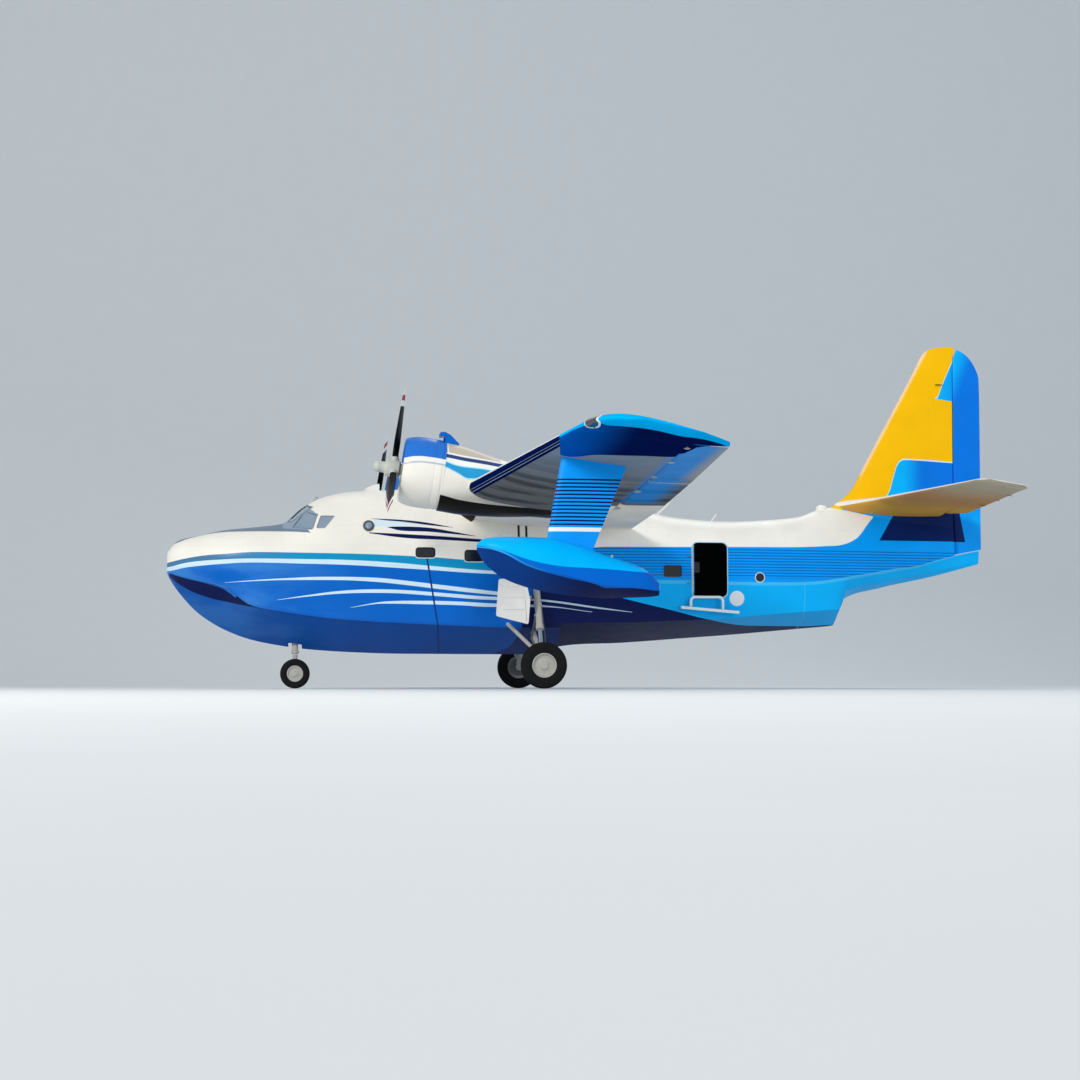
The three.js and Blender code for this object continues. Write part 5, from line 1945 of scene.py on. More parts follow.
@dataclass
class Engines:
    """Both engines: cowling, nacelle, scoop, exhaust, radial engine and propeller."""

    finishes: Finishes
    spread: float = 4.15
    hub: Point = (4.838, 4.573)
    tilt: float = math.radians(7.8)
    first_blade: tuple[float, float] = (6.7, 28.0)
    nacelle_rows: Sequence[Sequence[float]] = (
        # station bottom top half-width
        (5.83, 3.70, 5.14, 0.70), (6.35, 3.61, 5.02, 0.69), (7.10, 3.58, 4.77, 0.64),
        (7.90, 3.60, 4.52, 0.54), (8.60, 3.68, 4.25, 0.40), (9.00, 3.76, 4.05, 0.25),
    )
    scoop_rows: Sequence[Sequence[float]] = (
        # station half-width low high
        (5.80, 0.25, 5.248, 5.328), (5.892, 0.25, 5.246, 5.334), (5.896, 0.25, 5.06, 5.334),
        (6.02, 0.235, 5.03, 5.27), (6.20, 0.17, 4.95, 5.09),
    )
    cowl_profile: Line = (
        (0.200, 0.575), (0.176, 0.590), (0.166, 0.615), (0.172, 0.64), (0.20, 0.668), (0.25, 0.69),
        (0.31, 0.708), (0.40, 0.725), (0.50, 0.733), (0.60, 0.735), (0.80, 0.731), (0.815, 0.727),
        (0.82, 0.722), (0.825, 0.727), (0.84, 0.729), (0.96, 0.723), (0.96, 0.69), (0.84, 0.685),
        (0.5, 0.665), (0.29, 0.62), (0.24, 0.597),
    )
    joint_profile: Line = ((0.93, 0.66), (0.93, 0.712), (1.02, 0.712), (1.02, 0.66))
    blade_rows: Sequence[Sequence[float]] = (
        # reach chord thickness pitch
        (0.14, 0.13, 0.125, 45), (0.33, 0.17, 0.105, 36), (0.62, 0.29, 0.062, 26), (1.05, 0.33, 0.036, 18),
        (1.45, 0.30, 0.022, 14), (1.60, 0.235, 0.015, 12), (1.66, 0.13, 0.01, 12), (1.676, 0.03, 0.006, 12),
    )

    def thrust(self, hand: int = -1) -> Matrix:
        """Where one engine's thrust line goes."""
        hub = at(self.hub[0], hand * self.spread, self.hub[1])
        return Matrix.Translation(hub) @ Matrix.Rotation(self.tilt, 4, "Y")

    def build(self) -> None:
        """Builds and dresses both engines."""
        livery = NacelleLivery()
        self.nacelles(livery)
        cowl = turned("cowl", self.cowl_profile, 96, self.thrust(), ring=True)
        # A recessed joint band closes the gap to the nacelle
        band = turned("band", self.joint_profile, 96, self.thrust(), ring=True)
        cowl, paint = joined("cowl", [cowl, band]), livery.cowl()
        pair(cowl, "cowling_skin_{}", "airframe", "nacelle_paint", paint, "cowling_{}")
        metal = self.finishes.casting
        pair(self.radial(), "radial_engine_{}", "airframe", "engine_metal", metal, "engine_{}")
        self.propellers()

    def nacelles(self, livery: NacelleLivery) -> None:
        """The nacelle bodies with their scoops and exhaust stubs.

        Args:
            livery: the engines' paints.
        """
        faired = Faired(self.nacelle_rows)
        rings = []
        front, back = self.nacelle_rows[0][0], self.nacelle_rows[-1][0]
        for station in steps(front, back, 30):
            _, bottom, top, half = faired.row(station)
            middle, lean = (bottom + top) / 2, math.tan(self.tilt) * max(0.0, 1 - (station - front) / 0.6)
            ring = []
            for turn in turns(48):
                z = middle + (top - bottom) / 2 * math.sin(turn)
                ring.append(at(station + lean * (z - middle), -self.spread + half * math.cos(turn), z))
            rings.append(ring)
        nacelle, paint = solid("nacelle", rings), livery.nacelle()
        pair(nacelle, "nacelle_skin_{}", "airframe", "nacelle_paint", paint, "nacelle_{}", angle=40)
        scoop = solid("scoop", [
            [at(s, side * w - self.spread, z) for side, z in ((-1, low), (1, low), (0.8, high), (-0.8, high))]
            for s, w, low, high in self.scoop_rows
        ])
        bevelled(scoop, 0.012, 3)
        recessed(scoop, lambda f: f.normal.x < -0.9 and f.calc_area() > 0.02, 0.015, (0.06, 0, 0))
        pair(scoop, "air_scoop_{}", "airframe", "nacelle_paint", livery.scoop())
        path = [at(6.0, -3.79, 3.94), at(6.2, -3.73, 3.80), at(6.40, -3.67, 3.67), at(6.55, -3.63, 3.57)]
        stub = tube("stub", path, (0.08, 0.085, 0.085, 0.08), 28)
        recessed(stub, lambda f: f.normal.x > 0.5 and f.calc_area() > 0.005, 0.008, (-0.06, 0.01, 0.06))
        pair(stub, "exhaust_stub_{}", "airframe", "engine_metal", self.finishes.burnt)

    def radial(self) -> Piece:
        """One nine-cylinder radial engine.

        Returns:
            The left-hand engine.
        """
        case = turned("case", (
            (0.18, 0.002), (0.185, 0.08), (0.2, 0.12), (0.24, 0.15), (0.30, 0.165), (0.34, 0.23),
            (0.37, 0.235), (0.39, 0.255), (0.66, 0.255), (0.70, 0.24), (0.94, 0.24), (0.95, 0.002),
        ), 48, Matrix())
        profile = ((0.60, 0.20), (0.60, 0.665), (0.615, 0.672), (0.63, 0.665), (0.63, 0.20))
        baffle = turned("baffle", profile, 64, Matrix(), ring=True)
        fins = [(0.245, 0.115), (0.262, 0.115)]
        for k in range(9):
            r = 0.27 + k * 0.026
            fins += [(r, 0.092), (r + 0.006, 0.118), (r + 0.012, 0.118), (r + 0.018, 0.092)]
        fins += [(0.515, 0.125), (0.56, 0.12), (0.585, 0.09), (0.59, 0.002)]
        cylinder = [turned("cylinder", fins, 28, Matrix.Translation((0.5, 0, 0)) @ UPWARDS)]
        for side in (-1, 1):
            rod = [Vector((0.385, side * 0.035, 0.24)), Vector((0.42, side * 0.075, 0.55))]
            cylinder.append(tube("rod", rod, 0.013, 10))
            low, high = Vector((0.39, side * 0.08 - 0.035, 0.53)), Vector((0.56, side * 0.08 + 0.035, 0.60))
            cylinder.append(block("rocker", low, high, 0.015))
        one = joined("cylinder", cylinder)
        parts = [twin(one, "cylinder", Matrix.Rotation(turn, 4, "X")) for turn in turns(9)[1:]]
        ring = turned("ring", circle((0.345, 0.30), 0.012, 10), 64, Matrix(), ring=True)
        piece = joined("engine", [case, baffle, one, ring, *parts])
        piece.data.transform(self.thrust())
        return piece

    def propellers(self) -> None:
        """Both propellers, the second one turned to its own angle."""
        hub = turned("hub", (
            (-0.43, 0.001), (-0.428, 0.03), (-0.418, 0.06), (-0.395, 0.09), (-0.36, 0.108), (-0.33, 0.113),
            (-0.326, 0.119), (-0.31, 0.119), (-0.30, 0.113), (-0.20, 0.118), (-0.18, 0.125), (-0.155, 0.17),
            (-0.14, 0.178), (0.09, 0.186), (0.11, 0.18), (0.14, 0.12), (0.172, 0.12), (0.172, 0.001),
        ), 48, Matrix())
        faired = Faired(self.blade_rows)
        rings = []
        for reach in [*steps(0.14, 1.6, 22), 1.63, 1.655, 1.67, 1.676]:
            _, chord, thick, pitch = faired.row(reach)
            twist = math.radians(pitch)
            ring = []
            for turn in turns(20):
                across, through = chord / 2 * math.cos(turn), thick / 2 * math.sin(turn)
                ring.append(Vector((
                    across * math.sin(twist) + through * math.cos(twist),
                    across * math.cos(twist) - through * math.sin(twist),
                    reach,
                )))
            rings.append(ring)
        blade = solid("blade", rings)
        cuff_profile = (
            (0.13, 0.085), (0.2, 0.088), (0.215, 0.08), (0.25, 0.078), (0.255, 0.07), (0.13, 0.07)
        )
        cuff = turned("cuff", cuff_profile, 32, UPWARDS, ring=True)
        places = [Matrix.Rotation(math.radians(self.first_blade[0] + 120 * k), 4, "X") for k in range(3)]
        blades = [twin(blade, "blade", place) for place in places]
        cuffs = [twin(cuff, "cuff", place) for place in places]
        for spare in (blade, cuff):
            bpy.data.objects.remove(spare)
        black, pearl = self.blade_paint(), self.finishes.pearl
        for piece, paint in ((joined("blades", blades), black), (joined("hub", [hub, *cuffs]), pearl)):
            piece.data.transform(self.thrust())
            extra = Matrix.Rotation(math.radians(self.first_blade[1] - self.first_blade[0]), 4, "X")
            other = twin(piece, "other", self.thrust(1) @ extra @ self.thrust().inverted())
            name = "propeller_" + piece.name
            for side, each in (("left", piece), ("right", other)):
                body = f"propeller_{side}"
                replaced = [body] if "blades" in name else []
                finished(named(each, f"{name}_{side}"), body, "propeller_paint", paint, *replaced)

    def blade_paint(self) -> Material:
        """Black blades whose tips are banded by their distance from the thrust line.

        Returns:
            The paint.
        """
        # Matt enamel on forged blades, so that they don't dazzle
        paint = Painter("propeller_blade_enamel", Hue.BLACK)
        c, s = math.cos(self.tilt), math.sin(self.tilt)
        across = paint.sum("SUBTRACT", paint.aside, self.spread)
        ahead = paint.sum("MULTIPLY", paint.sum("SUBTRACT", paint.station, self.hub[0]), s)
        up = paint.sum("MULTIPLY_ADD", paint.sum("SUBTRACT", paint.z, self.hub[1]), c, ahead)
        squares = paint.sum("ADD", paint.sum("MULTIPLY", across, across), paint.sum("MULTIPLY", up, up))
        reach = paint.sum("SQRT", squares, 0.0)
        paint.lay(Hue.WHITE, paint.more(reach, 1.31))
        paint.lay(Hue.RED, paint.between(reach, 1.43, 1.545))
        return paint.done(Gloss(0.4, coat=0.0, specular=0.08), wear=0.05)


@dataclass(frozen=True)
class FloatLivery:
    """Three blues on the wing floats, their bottoms darkened with painted shade and a painted highlight along
    the chine, and pinstripes on their struts.
    """

    deck_foot: Line = (
        (5.95, 2.575), (6.06, 2.56), (6.35, 2.497), (6.92, 2.298), (7.45, 2.193), (7.99, 2.162),
        (8.49, 2.134), (9.3, 2.08),
    )
    rail: Stripe = (
        (6.0, 2.56, 2.54), (6.35, 2.495, 2.462), (6.925, 2.21, 2.178), (7.456, 2.051, 2.018),
        (8.176, 1.878, 1.846), (8.253, 1.846, 1.81), (8.727, 1.848, 1.814), (9.21, 1.8, 1.775),
    )

    def body(self) -> Material:
        """Builds the float's paint.

        Returns:
            The paint.
        """
        # Sea-worn enamel: colour without a highlight
        paint = Painter("float_enamel", Hue.SKY)
        paint.lay(Hue.MID_BLUE, paint.under(self.deck_foot))
        # The vee bottom is deep blue, navy aft: painted shade
        bottom = paint.under(edges(self.rail)[1])
        paint.lay(Hue.DEEP_BLUE, bottom)
        paint.lay(Hue.NAVY, bottom, paint.fade(paint.station, 6.6, 8.2))
        # A pale line along the chine, fading aft: painted highlight
        paint.lay(Hue.AQUA, paint.band(*edges(self.rail)), paint.fade(paint.station, 7.6, 6.4), strength=0.5)
        film = paint.both(paint.fade(paint.z, 2.2, 1.6), paint.cloud(3.0, 5.0, (0.4, 1, 1.6)))
        paint.lay(Hue.BROWN, film, strength=0.03)
        return paint.done(Gloss(0.34, coat=0.0, specular=0.06), Seams.SIDE)

    def strut(self) -> Material:
        """Builds the strut's paint.

        Returns:
            The paint.
        """
        # Sprayed enamel with crisp painted pinstripes
        paint = Painter("float_strut_enamel", Hue.AZURE)
        paint.lay(
            Hue.NAVY, paint.between(paint.z, 2.94, 3.79),
            paint.stripes(paint.sum("SUBTRACT", paint.z, 2.948), 0.0672, 0.03),
        )
        paint.lay(Hue.WHITE, paint.between(paint.z, 2.835, 2.909))
        return paint.done(Gloss(0.3))


@dataclass
class Floats:
    """The wing floats on their struts."""

    finishes: Finishes
    spread: float = 10.9
    length: float = 3.29
    rows: Sequence[Sequence[float]] = (
        # station half-width keel chine deck
        (6.01, 0.04, 2.48, 2.56, 2.60), (6.15, 0.21, 2.26, 2.52, 2.70), (6.55, 0.37, 1.96, 2.38, 2.735),
        (7.20, 0.45, 1.76, 2.12, 2.725), (7.90, 0.45, 1.66, 1.95, 2.57), (8.30, 0.41, 1.64, 1.85, 2.42),
        (8.70, 0.32, 1.65, 1.83, 2.30), (9.10, 0.20, 1.665, 1.80, 2.13), (9.30, 0.07, 1.69, 1.78, 1.92),
    )
    # lead chord height thickness
    strut: Sequence[tuple[float, float, float, float]] = ((7.23, 0.87, 2.50, 0.17), (7.54, 1.25, 4.20, 0.14))

    def ring(self, row: Sequence[float]) -> list[Vector]:
        """One section: a vee bottom, low walls and an arched deck.

        Args:
            row: a row of the float's table.
        Returns:
            The section's points.
        """
        station, half, keel, chine, deck = row
        wall = chine + 0.25 * (deck - chine)
        right = [(half * t, mix(keel, chine, t) - 0.05 * t * (1 - t)) for t in steps(0, 1, 5)]
        right += [(half, mix(chine, wall, t)) for t in (0.33, 0.66)]
        right += [(half * math.cos(t), wall + (deck - wall) * math.sin(t)) for t in steps(0, math.pi / 2, 12)]
        points = right + [(-y, z) for y, z in reversed(right[1:-1])]
        return [at(station, y - self.spread, z) for y, z in points]

    def build(self) -> None:
        """Builds and dresses both floats."""
        livery = FloatLivery()
        faired = Faired([(row[0] - self.rows[0][0], *row) for row in self.rows], 0.5)
        stations = [self.length * t * t for t in steps(0, 1, 46)]
        body = solid("float", [self.ring(faired.row(s)[1:]) for s in stations])
        pair(body, "float_skin_{}", "airframe", "hull_paint", livery.body(), "wing_float_{}", angle=30)
        rings = []
        for t in steps(0, 1, 16):
            lead, chord, height, thickness = (mix(a, b, t) for a, b in zip(*self.strut))
            rib = Rib(0, 0, chord, 0, 0, thickness)
            parts = [k * k for k in steps(0, 1, 18)]
            near = [at(lead + x * chord, -self.spread + rib.half(x) * chord, height) for x in reversed(parts)]
            far = [at(lead + x * chord, -self.spread - rib.half(x) * chord, height) for x in parts[1:]]
            rings.append(near + far)
        strut, paint = solid("strut", rings), livery.strut()
        pair(strut, "float_strut_skin_{}", "airframe", "hull_paint", paint, "float_strut_{}")
        extras = [
            tube("cleat", [at(s, -self.spread, z), at(s, -self.spread, z + 0.07)], 0.02, 12)
            for s, z in ((6.42, 2.71), (8.45, 2.35))
        ]
        profile = ((-0.02, 0.002), (-0.02, 0.05), (0.03, 0.045), (0.045, 0.002))
        extras.append(turned("cap", profile, 20, placed(9.28, -self.spread, 1.85)))
        pair(joined("fittings", extras), "float_fittings_{}", "airframe", "gear_metal", self.finishes.grey)


@dataclass(frozen=True)
class TailLivery:
    """Yellow fin and blue rudder; cream tailplane, with tan painted shade under it and a gold painted
    reflection of the fin at its root.
    """

    upper: Line = ((17.60, 6.70), (17.63, 6.706), (17.763, 7.013), (18.144, 7.86), (18.2, 8.0))
    upper_foot: Line = ((17.5, 6.72), (17.63, 6.706), (18.05, 6.645), (18.2, 6.62))
    lower: Line = ((16.40, 4.40), (16.455, 4.499), (16.824, 5.269), (17.932, 5.217), (18.7, 5.19))

    def fin(self) -> Material:
        """Builds the fin's paint.

        Returns:
            The paint.
        """
        # Sprayed enamel over riveted sheet, with a painted highlight along the leading edge
        paint = Painter("yellow_fin_enamel", Hue.YELLOW)
        for line, start, end in ((self.upper, 17.6, 18.5), (self.lower, 16.75, 17.3)):
            reach = paint.more(paint.station, line[0][0])
            over_foot = paint.over(self.upper_foot) if line is self.upper else reach
            height = paint.sum("SUBTRACT", paint.level(line), paint.z)
            paint.lay(Hue.PALE, over_foot, reach, paint.more(height, -0.03))
            inside = paint.both(over_foot, reach, paint.more(height, 0.0))
            paint.lay(Hue.SKY, inside)
            paint.lay(Hue.RUDDER_BLUE, inside, paint.fade(paint.station, start, end))
        paint.lay(Hue.AZURE, paint.less(paint.z, 4.12))
        paint.lay(Hue.PANEL, tail_panel(paint))
        # A pale streak along the upper leading edge: painted highlight
        nose = paint.leaning(-0.5447)
        paint.lay(Hue.CREAM, paint.fade(nose, 13.20, 13.13), paint.more(paint.z, 4.9), strength=0.45)
        return paint.done(Gloss(0.32), Seams.FIN)

    def rudder(self) -> Material:
        """Builds the rudder's paint.

        Returns:
            The paint.
        """
        # Sprayed enamel over riveted sheet: even and glossy
        paint = Painter("blue_rudder_enamel", Hue.RUDDER_BLUE)
        front = paint.leaning(-0.4)
        paint.lay(Hue.SKY, paint.fade(front, 15.5, 15.0), paint.fade(paint.z, 6.4, 6.9))
        paint.lay(Hue.YELLOW, paint.more(paint.sum("MULTIPLY_ADD", paint.station, -2.22, paint.z), -32.36))
        paint.lay(Hue.AZURE, paint.fade(paint.z, 4.4, 4.2))
        corner = paint.leaning(0.6)
        paint.lay(Hue.SKY, paint.fade(corner, 20.7, 20.95), paint.fade(paint.z, 4.2, 3.9), strength=0.6)
        paint.lay(Hue.PANEL, tail_panel(paint))
        return paint.done(Gloss(0.3), Seams.FIN)

    def tailplane(self) -> Material:
        """Builds the tailplane's paint.

        Returns:
            The paint.
        """
        # Weathered enamel without a highlight
        paint = Painter("tailplane_enamel", Hue.CREAM)
        below = paint.less(paint.facing("Z"), -0.25)
        # Underneath: tan painted shade, and towards the root gold and yellow, a painted reflection of the
        # yellow fin
        paint.lay(Hue.TAN, below, strength=0.85)
        paint.lay(Hue.OCHRE, below, paint.fade(paint.aside, 4.6, 1.8), strength=0.75)
        paint.lay(Hue.YELLOW, below, paint.fade(paint.aside, 2.0, 0.5), strength=0.35)
        return paint.done(Gloss(0.4, coat=0.0, specular=0.0), Seams.WING, 0.08)


@dataclass
class Tail:
    """Fin, rudder, tailplane and elevators."""

    finishes: Finishes
    hinge: float = 18.07
    rows: Sequence[Sequence[float]] = (
        # height lead trail thickness
        (3.56, 15.11, 18.67, 0.1), (4.15, 15.11, 18.67, 0.1), (4.32, 15.337, 18.67, 0.1),
        (4.533, 15.575, 18.67, 0.1), (5.117, 15.894, 18.67, 0.1), (6.5, 16.647, 18.67, 0.095),
        (7.191, 17.023, 18.66, 0.09), (7.505, 17.186, 18.55, 0.085), (7.701, 17.286, 18.41, 0.075),
        (7.83, 17.406, 18.245, 0.06), (7.895, 17.56, 18.11, 0.045), (7.924, 17.74, 18.09, 0.03),
    )
    span: float = 4.75
    elevator: Point = (0.42, 4.48)
    surfaces: Surfaces = field(default_factory=lambda: Surfaces((
        # y lead chord height incidence thickness
        (0.0, 15.15, 3.09, 4.19, 3.2, 0.13), (0.7, 16.03, 2.20, 4.31, 6.5, 0.1),
        (4.1, 17.05, 1.215, 4.415, 9.5, 0.09), (4.55, 17.19, 1.105, 4.432, 9.5, 0.08),
        (4.75, 17.42, 0.76, 4.425, 9.5, 0.05),
    ), 4.1))

    def build(self) -> None:
        """Builds and dresses the tail."""
        livery = TailLivery()
        faired = Faired(self.rows)
        foot, rounding, top = self.rows[0][0], 7.6, self.rows[-1][0]
        tip = [mix(top, rounding, (1 - t) ** 2) for t in steps(0.1, 1, 14)]
        heights = [*steps(foot, rounding, 40), *tip]
        fin = [self.level_rib(faired.row(z), False) for z in heights]
        finished(solid("fin_skin", fin), "airframe", "fin_paint", livery.fin(), "fin")
        levels = [2.9, 3.2, 3.5, *(z for z in heights if z < 7.86), 7.87]
        rows = [[z, *faired.row(max(z, foot))[1:]] for z in levels]
        rudder = solid("rudder_skin", [self.level_rib(row, True) for row in rows])
        bisected(rudder, at(17.98, 0, 3.08), Vector((0.189, 0, -1)).normalized(), fill=True)
        finished(rudder, "rudder", "fin_paint", livery.rudder(), "rudder")
        ribs, fixed_end = self.surfaces, self.elevator[1] + 0.02
        parts = [solid("part", [ribs.fixed(y, self.hinge_at(y)) for y in ribs.between(0.03, fixed_end, 0.3)])]
        parts.append(ribs.tip("part", fixed_end - 0.001, self.span))
        paint = livery.tailplane()
        pair(joined("tailplane", parts), "tailplane_skin_{}", "airframe", "tail_paint", paint, "tailplane_{}")
        surface = ribs.hinged("elevator", *self.elevator, self.hinge_at)
        pair(surface, "elevator_skin_{}", "elevator_{}", "tail_paint", paint, "elevator_{}")
        wicks = []
        for s, y, z in ((18.15, 3.53, 4.20), (18.13, 2.7, 4.16), (18.05, 1.885, 4.11)):
            wicks.append(tube("wick", [at(s - 0.06, -y, z + 0.01), at(s + 0.14, -y, z - 0.03)], 0.006, 8))
        pair(joined("wicks", wicks), "static_wicks_{}", "elevator_{}", "black_paint", self.finishes.black)

    def hinge_at(self, y: float) -> float:
        """The station of the elevator's hinge."""
        return mix(17.75, 17.86, y / self.span)

    def level_rib(self, row: Sequence[float], moving: bool) -> list[Vector]:
        """A level section of the fin, or of the rudder.

        Args:
            row: a row of the fin's table.
            moving: whether it is the rudder's.
        Returns:
            The ring.
        """
        height, lead, trail, thickness = row
        rib = Rib(0, lead, trail - lead, height, 0, thickness)
        part = rib.part(self.hinge)
        if moving:
            ring = rib.tail(part)
        else:
            ring = rib.body(min(part, 0.98) - rib.half(part) - HINGE_GAP / rib.chord)
        return [Vector((p.x, p.z - height, height)) for p in ring]


def wheel(
    place: Matrix, radius: float, width: float, rim_radius: float, grooves: Sequence[float], bolts: int
) -> tuple[Piece, Piece]:
    """A tyre and its rim, turned about the Y axis.

    Args:
        place: where the wheel's middle goes.
        radius: the tyre's radius.
        width: the tyre's width.
        rim_radius: the rim's radius.
        grooves: where the tread's grooves run, as parts of half the width.
        bolts: the number of rim bolts.
    Returns:
        The tyre and the rim.
    """
    half, spin = width / 2, place @ ACROSS
    tread = []
    for groove in grooves:
        for shift, deep in ((-0.012, 0), (-0.009, 0.01), (0.009, 0.01), (0.012, 0)):
            along = groove * half + shift
            tread.append((along, radius - deep - 0.02 * (along / half) ** 2))
    shoulder = radius - 0.07
    r = rim_radius
    wall = [
        (0.78, r), (0.86, r + 0.012), (0.97, r + 0.06), (1.0, mix(r, shoulder, 0.6)), (0.985, shoulder),
        (0.93, shoulder + 0.028), (0.84, radius - 0.024), (0.72, radius - 0.013),
    ]
    profile = [*((-half * a, b) for a, b in wall), *tread, *((half * a, b) for a, b in reversed(wall))]
    tyre = turned("tyre", profile, 96, spin, ring=True)
    side = [
        (0.83, r + 0.004), (0.86, r - 0.006), (0.82, r - 0.02), (0.55, r * 0.86), (0.45, r * 0.72),
        (0.5, r * 0.45), (0.62, r * 0.36), (0.74, r * 0.3), (0.76, r * 0.1), (0.76, 0.002),
    ]
    profile = [(-half * a, b) for a, b in reversed(side)] + [(half * a, b) for a, b in side]
    dish = turned("rim", profile, 64, spin)
    parts = [dish]
    for face in (-half, half):
        profile = [(face * a, b) for a, b in ((0.44, 0.012), (0.53, 0.012), (0.55, 0.008), (0.55, 0.001))]
        for turn in turns(bolts):
            head = spin @ Matrix.Rotation(turn, 4, "X") @ Matrix.Translation((0, 0, r * 0.62))
            parts.append(turned("bolt", profile, 8, head))
    return tyre, joined("rim", parts)


@dataclass
class Gear:
    """Wheels, legs and the fairing plates of the landing gear."""

    finishes: Finishes
    main: tuple[float, float, float] = (8.15, 2.69, 0.50)
    nose: tuple[float, float, float] = (2.85, 0.19, 0.33)
    main_width: float = 0.31
    root: float = -1.08
    nose_width: float = 0.17
    clearance: float = 0.012

    def build(self) -> None:
        """Builds and dresses the landing gear."""
        self.main_gear()
        self.nose_gear()
        self.plates()

    def main_gear(self) -> None:
        """The main wheels and their legs."""
        station, spread, radius = self.main
        hub = placed(station, -spread, radius)
        tyre, rim_piece = wheel(hub, radius, self.main_width, 0.26, (-0.5, -0.17, 0.17, 0.5), 10)
        grey, rubber = self.finishes.grey, self.finishes.rubber
        pair(tyre, "main_tyre_{}", "main_wheel_{}", "tyre_rubber", rubber, "main_wheel_{}", angle=50)
        pair(rim_piece, "main_rim_{}", "main_wheel_{}", "gear_metal", grey)
        inner = spread - self.main_width / 2 - self.clearance

        def foot(aft: float, inset: float, rise: float) -> Vector:
            """A point beside the wheel, by its distances from the hub's inner end."""
            return at(station + aft, -(inner - inset), radius + rise)

        upper, lower = at(station, self.root, 2.45), foot(0, 0.09, 0.06)

        def down(part: float) -> Vector:
            """A point of the leg's centre line."""
            return upper.lerp(lower, part)

        painted = [
            tube("cylinder", [upper, down(0.3), down(0.62)], 0.075, 28),
            tube("collar", [down(0.56), down(0.62)], 0.088, 28),
            tube("collar", [down(0.30), down(0.34)], 0.088, 28),
            tube("foot", [down(0.88), lower], 0.072, 28),
            tube("drag", [at(station - 0.06, self.root, 1.25), foot(0, 0.10, 0.12)], 0.058, 24),
            tube("brace", [at(station - 0.70, self.root, 1.5), foot(-0.04, 0.16, 0.22)], 0.043, 20),
            tube("axle", [foot(0, 0.17, 0), foot(0, 0.03, 0)], 0.083, 28),
        ]
        for part in (0.45, 0.86):
            spot = down(part)
            low, high = spot - Vector((0.10, 0.035, 0.03)), spot + Vector((-0.05, 0.035, 0.03))
            painted.append(block("lug", low, high, 0.008))
        pair(joined("leg", painted), "main_leg_paint_{}", "airframe", "gear_paint", grey, "main_leg_{}")
        chrome = tube("oleo", [down(0.60), down(0.90)], 0.055, 28)
        pair(chrome, "main_oleo_{}", "airframe", "gear_metal", self.finishes.chrome)
        disc = ((-0.012, 0.09), (-0.012, 0.2), (0.012, 0.2), (0.012, 0.09))
        discs = [turned("disc", disc, 48, placed(station, -(inner - 0.05), radius) @ ACROSS, ring=True)]
        knee = down(0.72) + Vector((-0.2, 0, 0))
        for part in (0.46, 0.88):
            spot = down(part) + Vector((-0.07, 0, 0))
            discs.append(tube("link", [spot, knee], (0.028, 0.02), 12))
        discs.append(tube("pin", [knee - Vector((0, 0.04, 0)), knee + Vector((0, 0.04, 0))], 0.024, 12))
        start, end = upper + Vector((0.05, -0.02, -0.2)), lower + Vector((0.09, 0.02, 0.1))
        bend = down(0.5) + Vector((0.12, 0, 0.05))
        hose = [start.lerp(bend, t).lerp(bend.lerp(end, t), t) for t in steps(0, 1, 12)]
        discs.append(tube("hose", hose, 0.011, 10))
        pair(joined("brake", discs), "main_brake_{}", "airframe", "gear_metal", self.finishes.casting)

    def nose_gear(self) -> None:
        """The twin nose wheels, their fork and leg."""
        station, spread, radius = self.nose
        tyres, rims = [], []
        for hand in (-1, 1):
            hub = placed(station, hand * spread, radius)
            tyre, rim_piece = wheel(hub, radius, self.nose_width, 0.175, (-0.3, 0.3), 6)
            tyres.append(tyre)
            rims.append(rim_piece)
        rims.append(tube("axle", [at(station, -spread, radius), at(station, spread, radius)], 0.032, 20))
        grey, rubber = self.finishes.grey, self.finishes.rubber
        finished(joined("nose_tyres", tyres), "nose_wheels", "tyre_rubber", rubber, "nose_wheels", angle=50)
        finished(joined("nose_rims", rims), "nose_wheels", "gear_metal", grey)
        bush = [(-0.075, 0.042), (-0.075, 0.058), (-0.065, 0.064)]
        bush += [(-along, radius_at) for along, radius_at in reversed(bush)]
        fork = [
            tube("fork", [at(station, 0, z) for z in (0.40, 0.55, 0.76)], (0.06, 0.05, 0.06), 28),
            turned("bush", bush, 32, placed(station, 0, radius) @ ACROSS, ring=True),
        ]
        finished(joined("nose_fork_paint", fork), "nose_steering", "gear_metal", grey, "nose_fork")
        leg = [
            tube("leg", [at(station, 0, 0.772), at(station, 0, 0.85)], 0.085, 28),
            tube("leg", [at(station, 0, 0.84), at(station, 0, 1.38)], 0.07, 28),
            tube("collar", [at(station, 0, 1.0), at(station, 0, 1.06)], 0.083, 28),
        ]
        finished(joined("nose_leg_paint", leg), "airframe", "gear_metal", grey, "nose_leg")

    def plates(self) -> None:
        """The fairing plates that hang inboard of the main wheels."""
        corners = softened([(7.19, 1.58), (7.90, 1.40), (7.94, 1.92), (7.84, 2.39), (7.25, 2.39)], 0.05)
        plate = panelled(prism("plate", corners, -1.925, -1.875), 0.03, 0.008)
        ribs = [
            block("rib", at(7.32, -1.935, z), at(7.80, -1.915, z + 0.035), 0.008) for z in (1.72, 1.98, 2.22)
        ]
        plate, white = joined("plate", [plate, *ribs]), self.finishes.white
        pair(plate, "gear_plate_{}", "airframe", "gear_paint", white, "gear_fairing_{}")


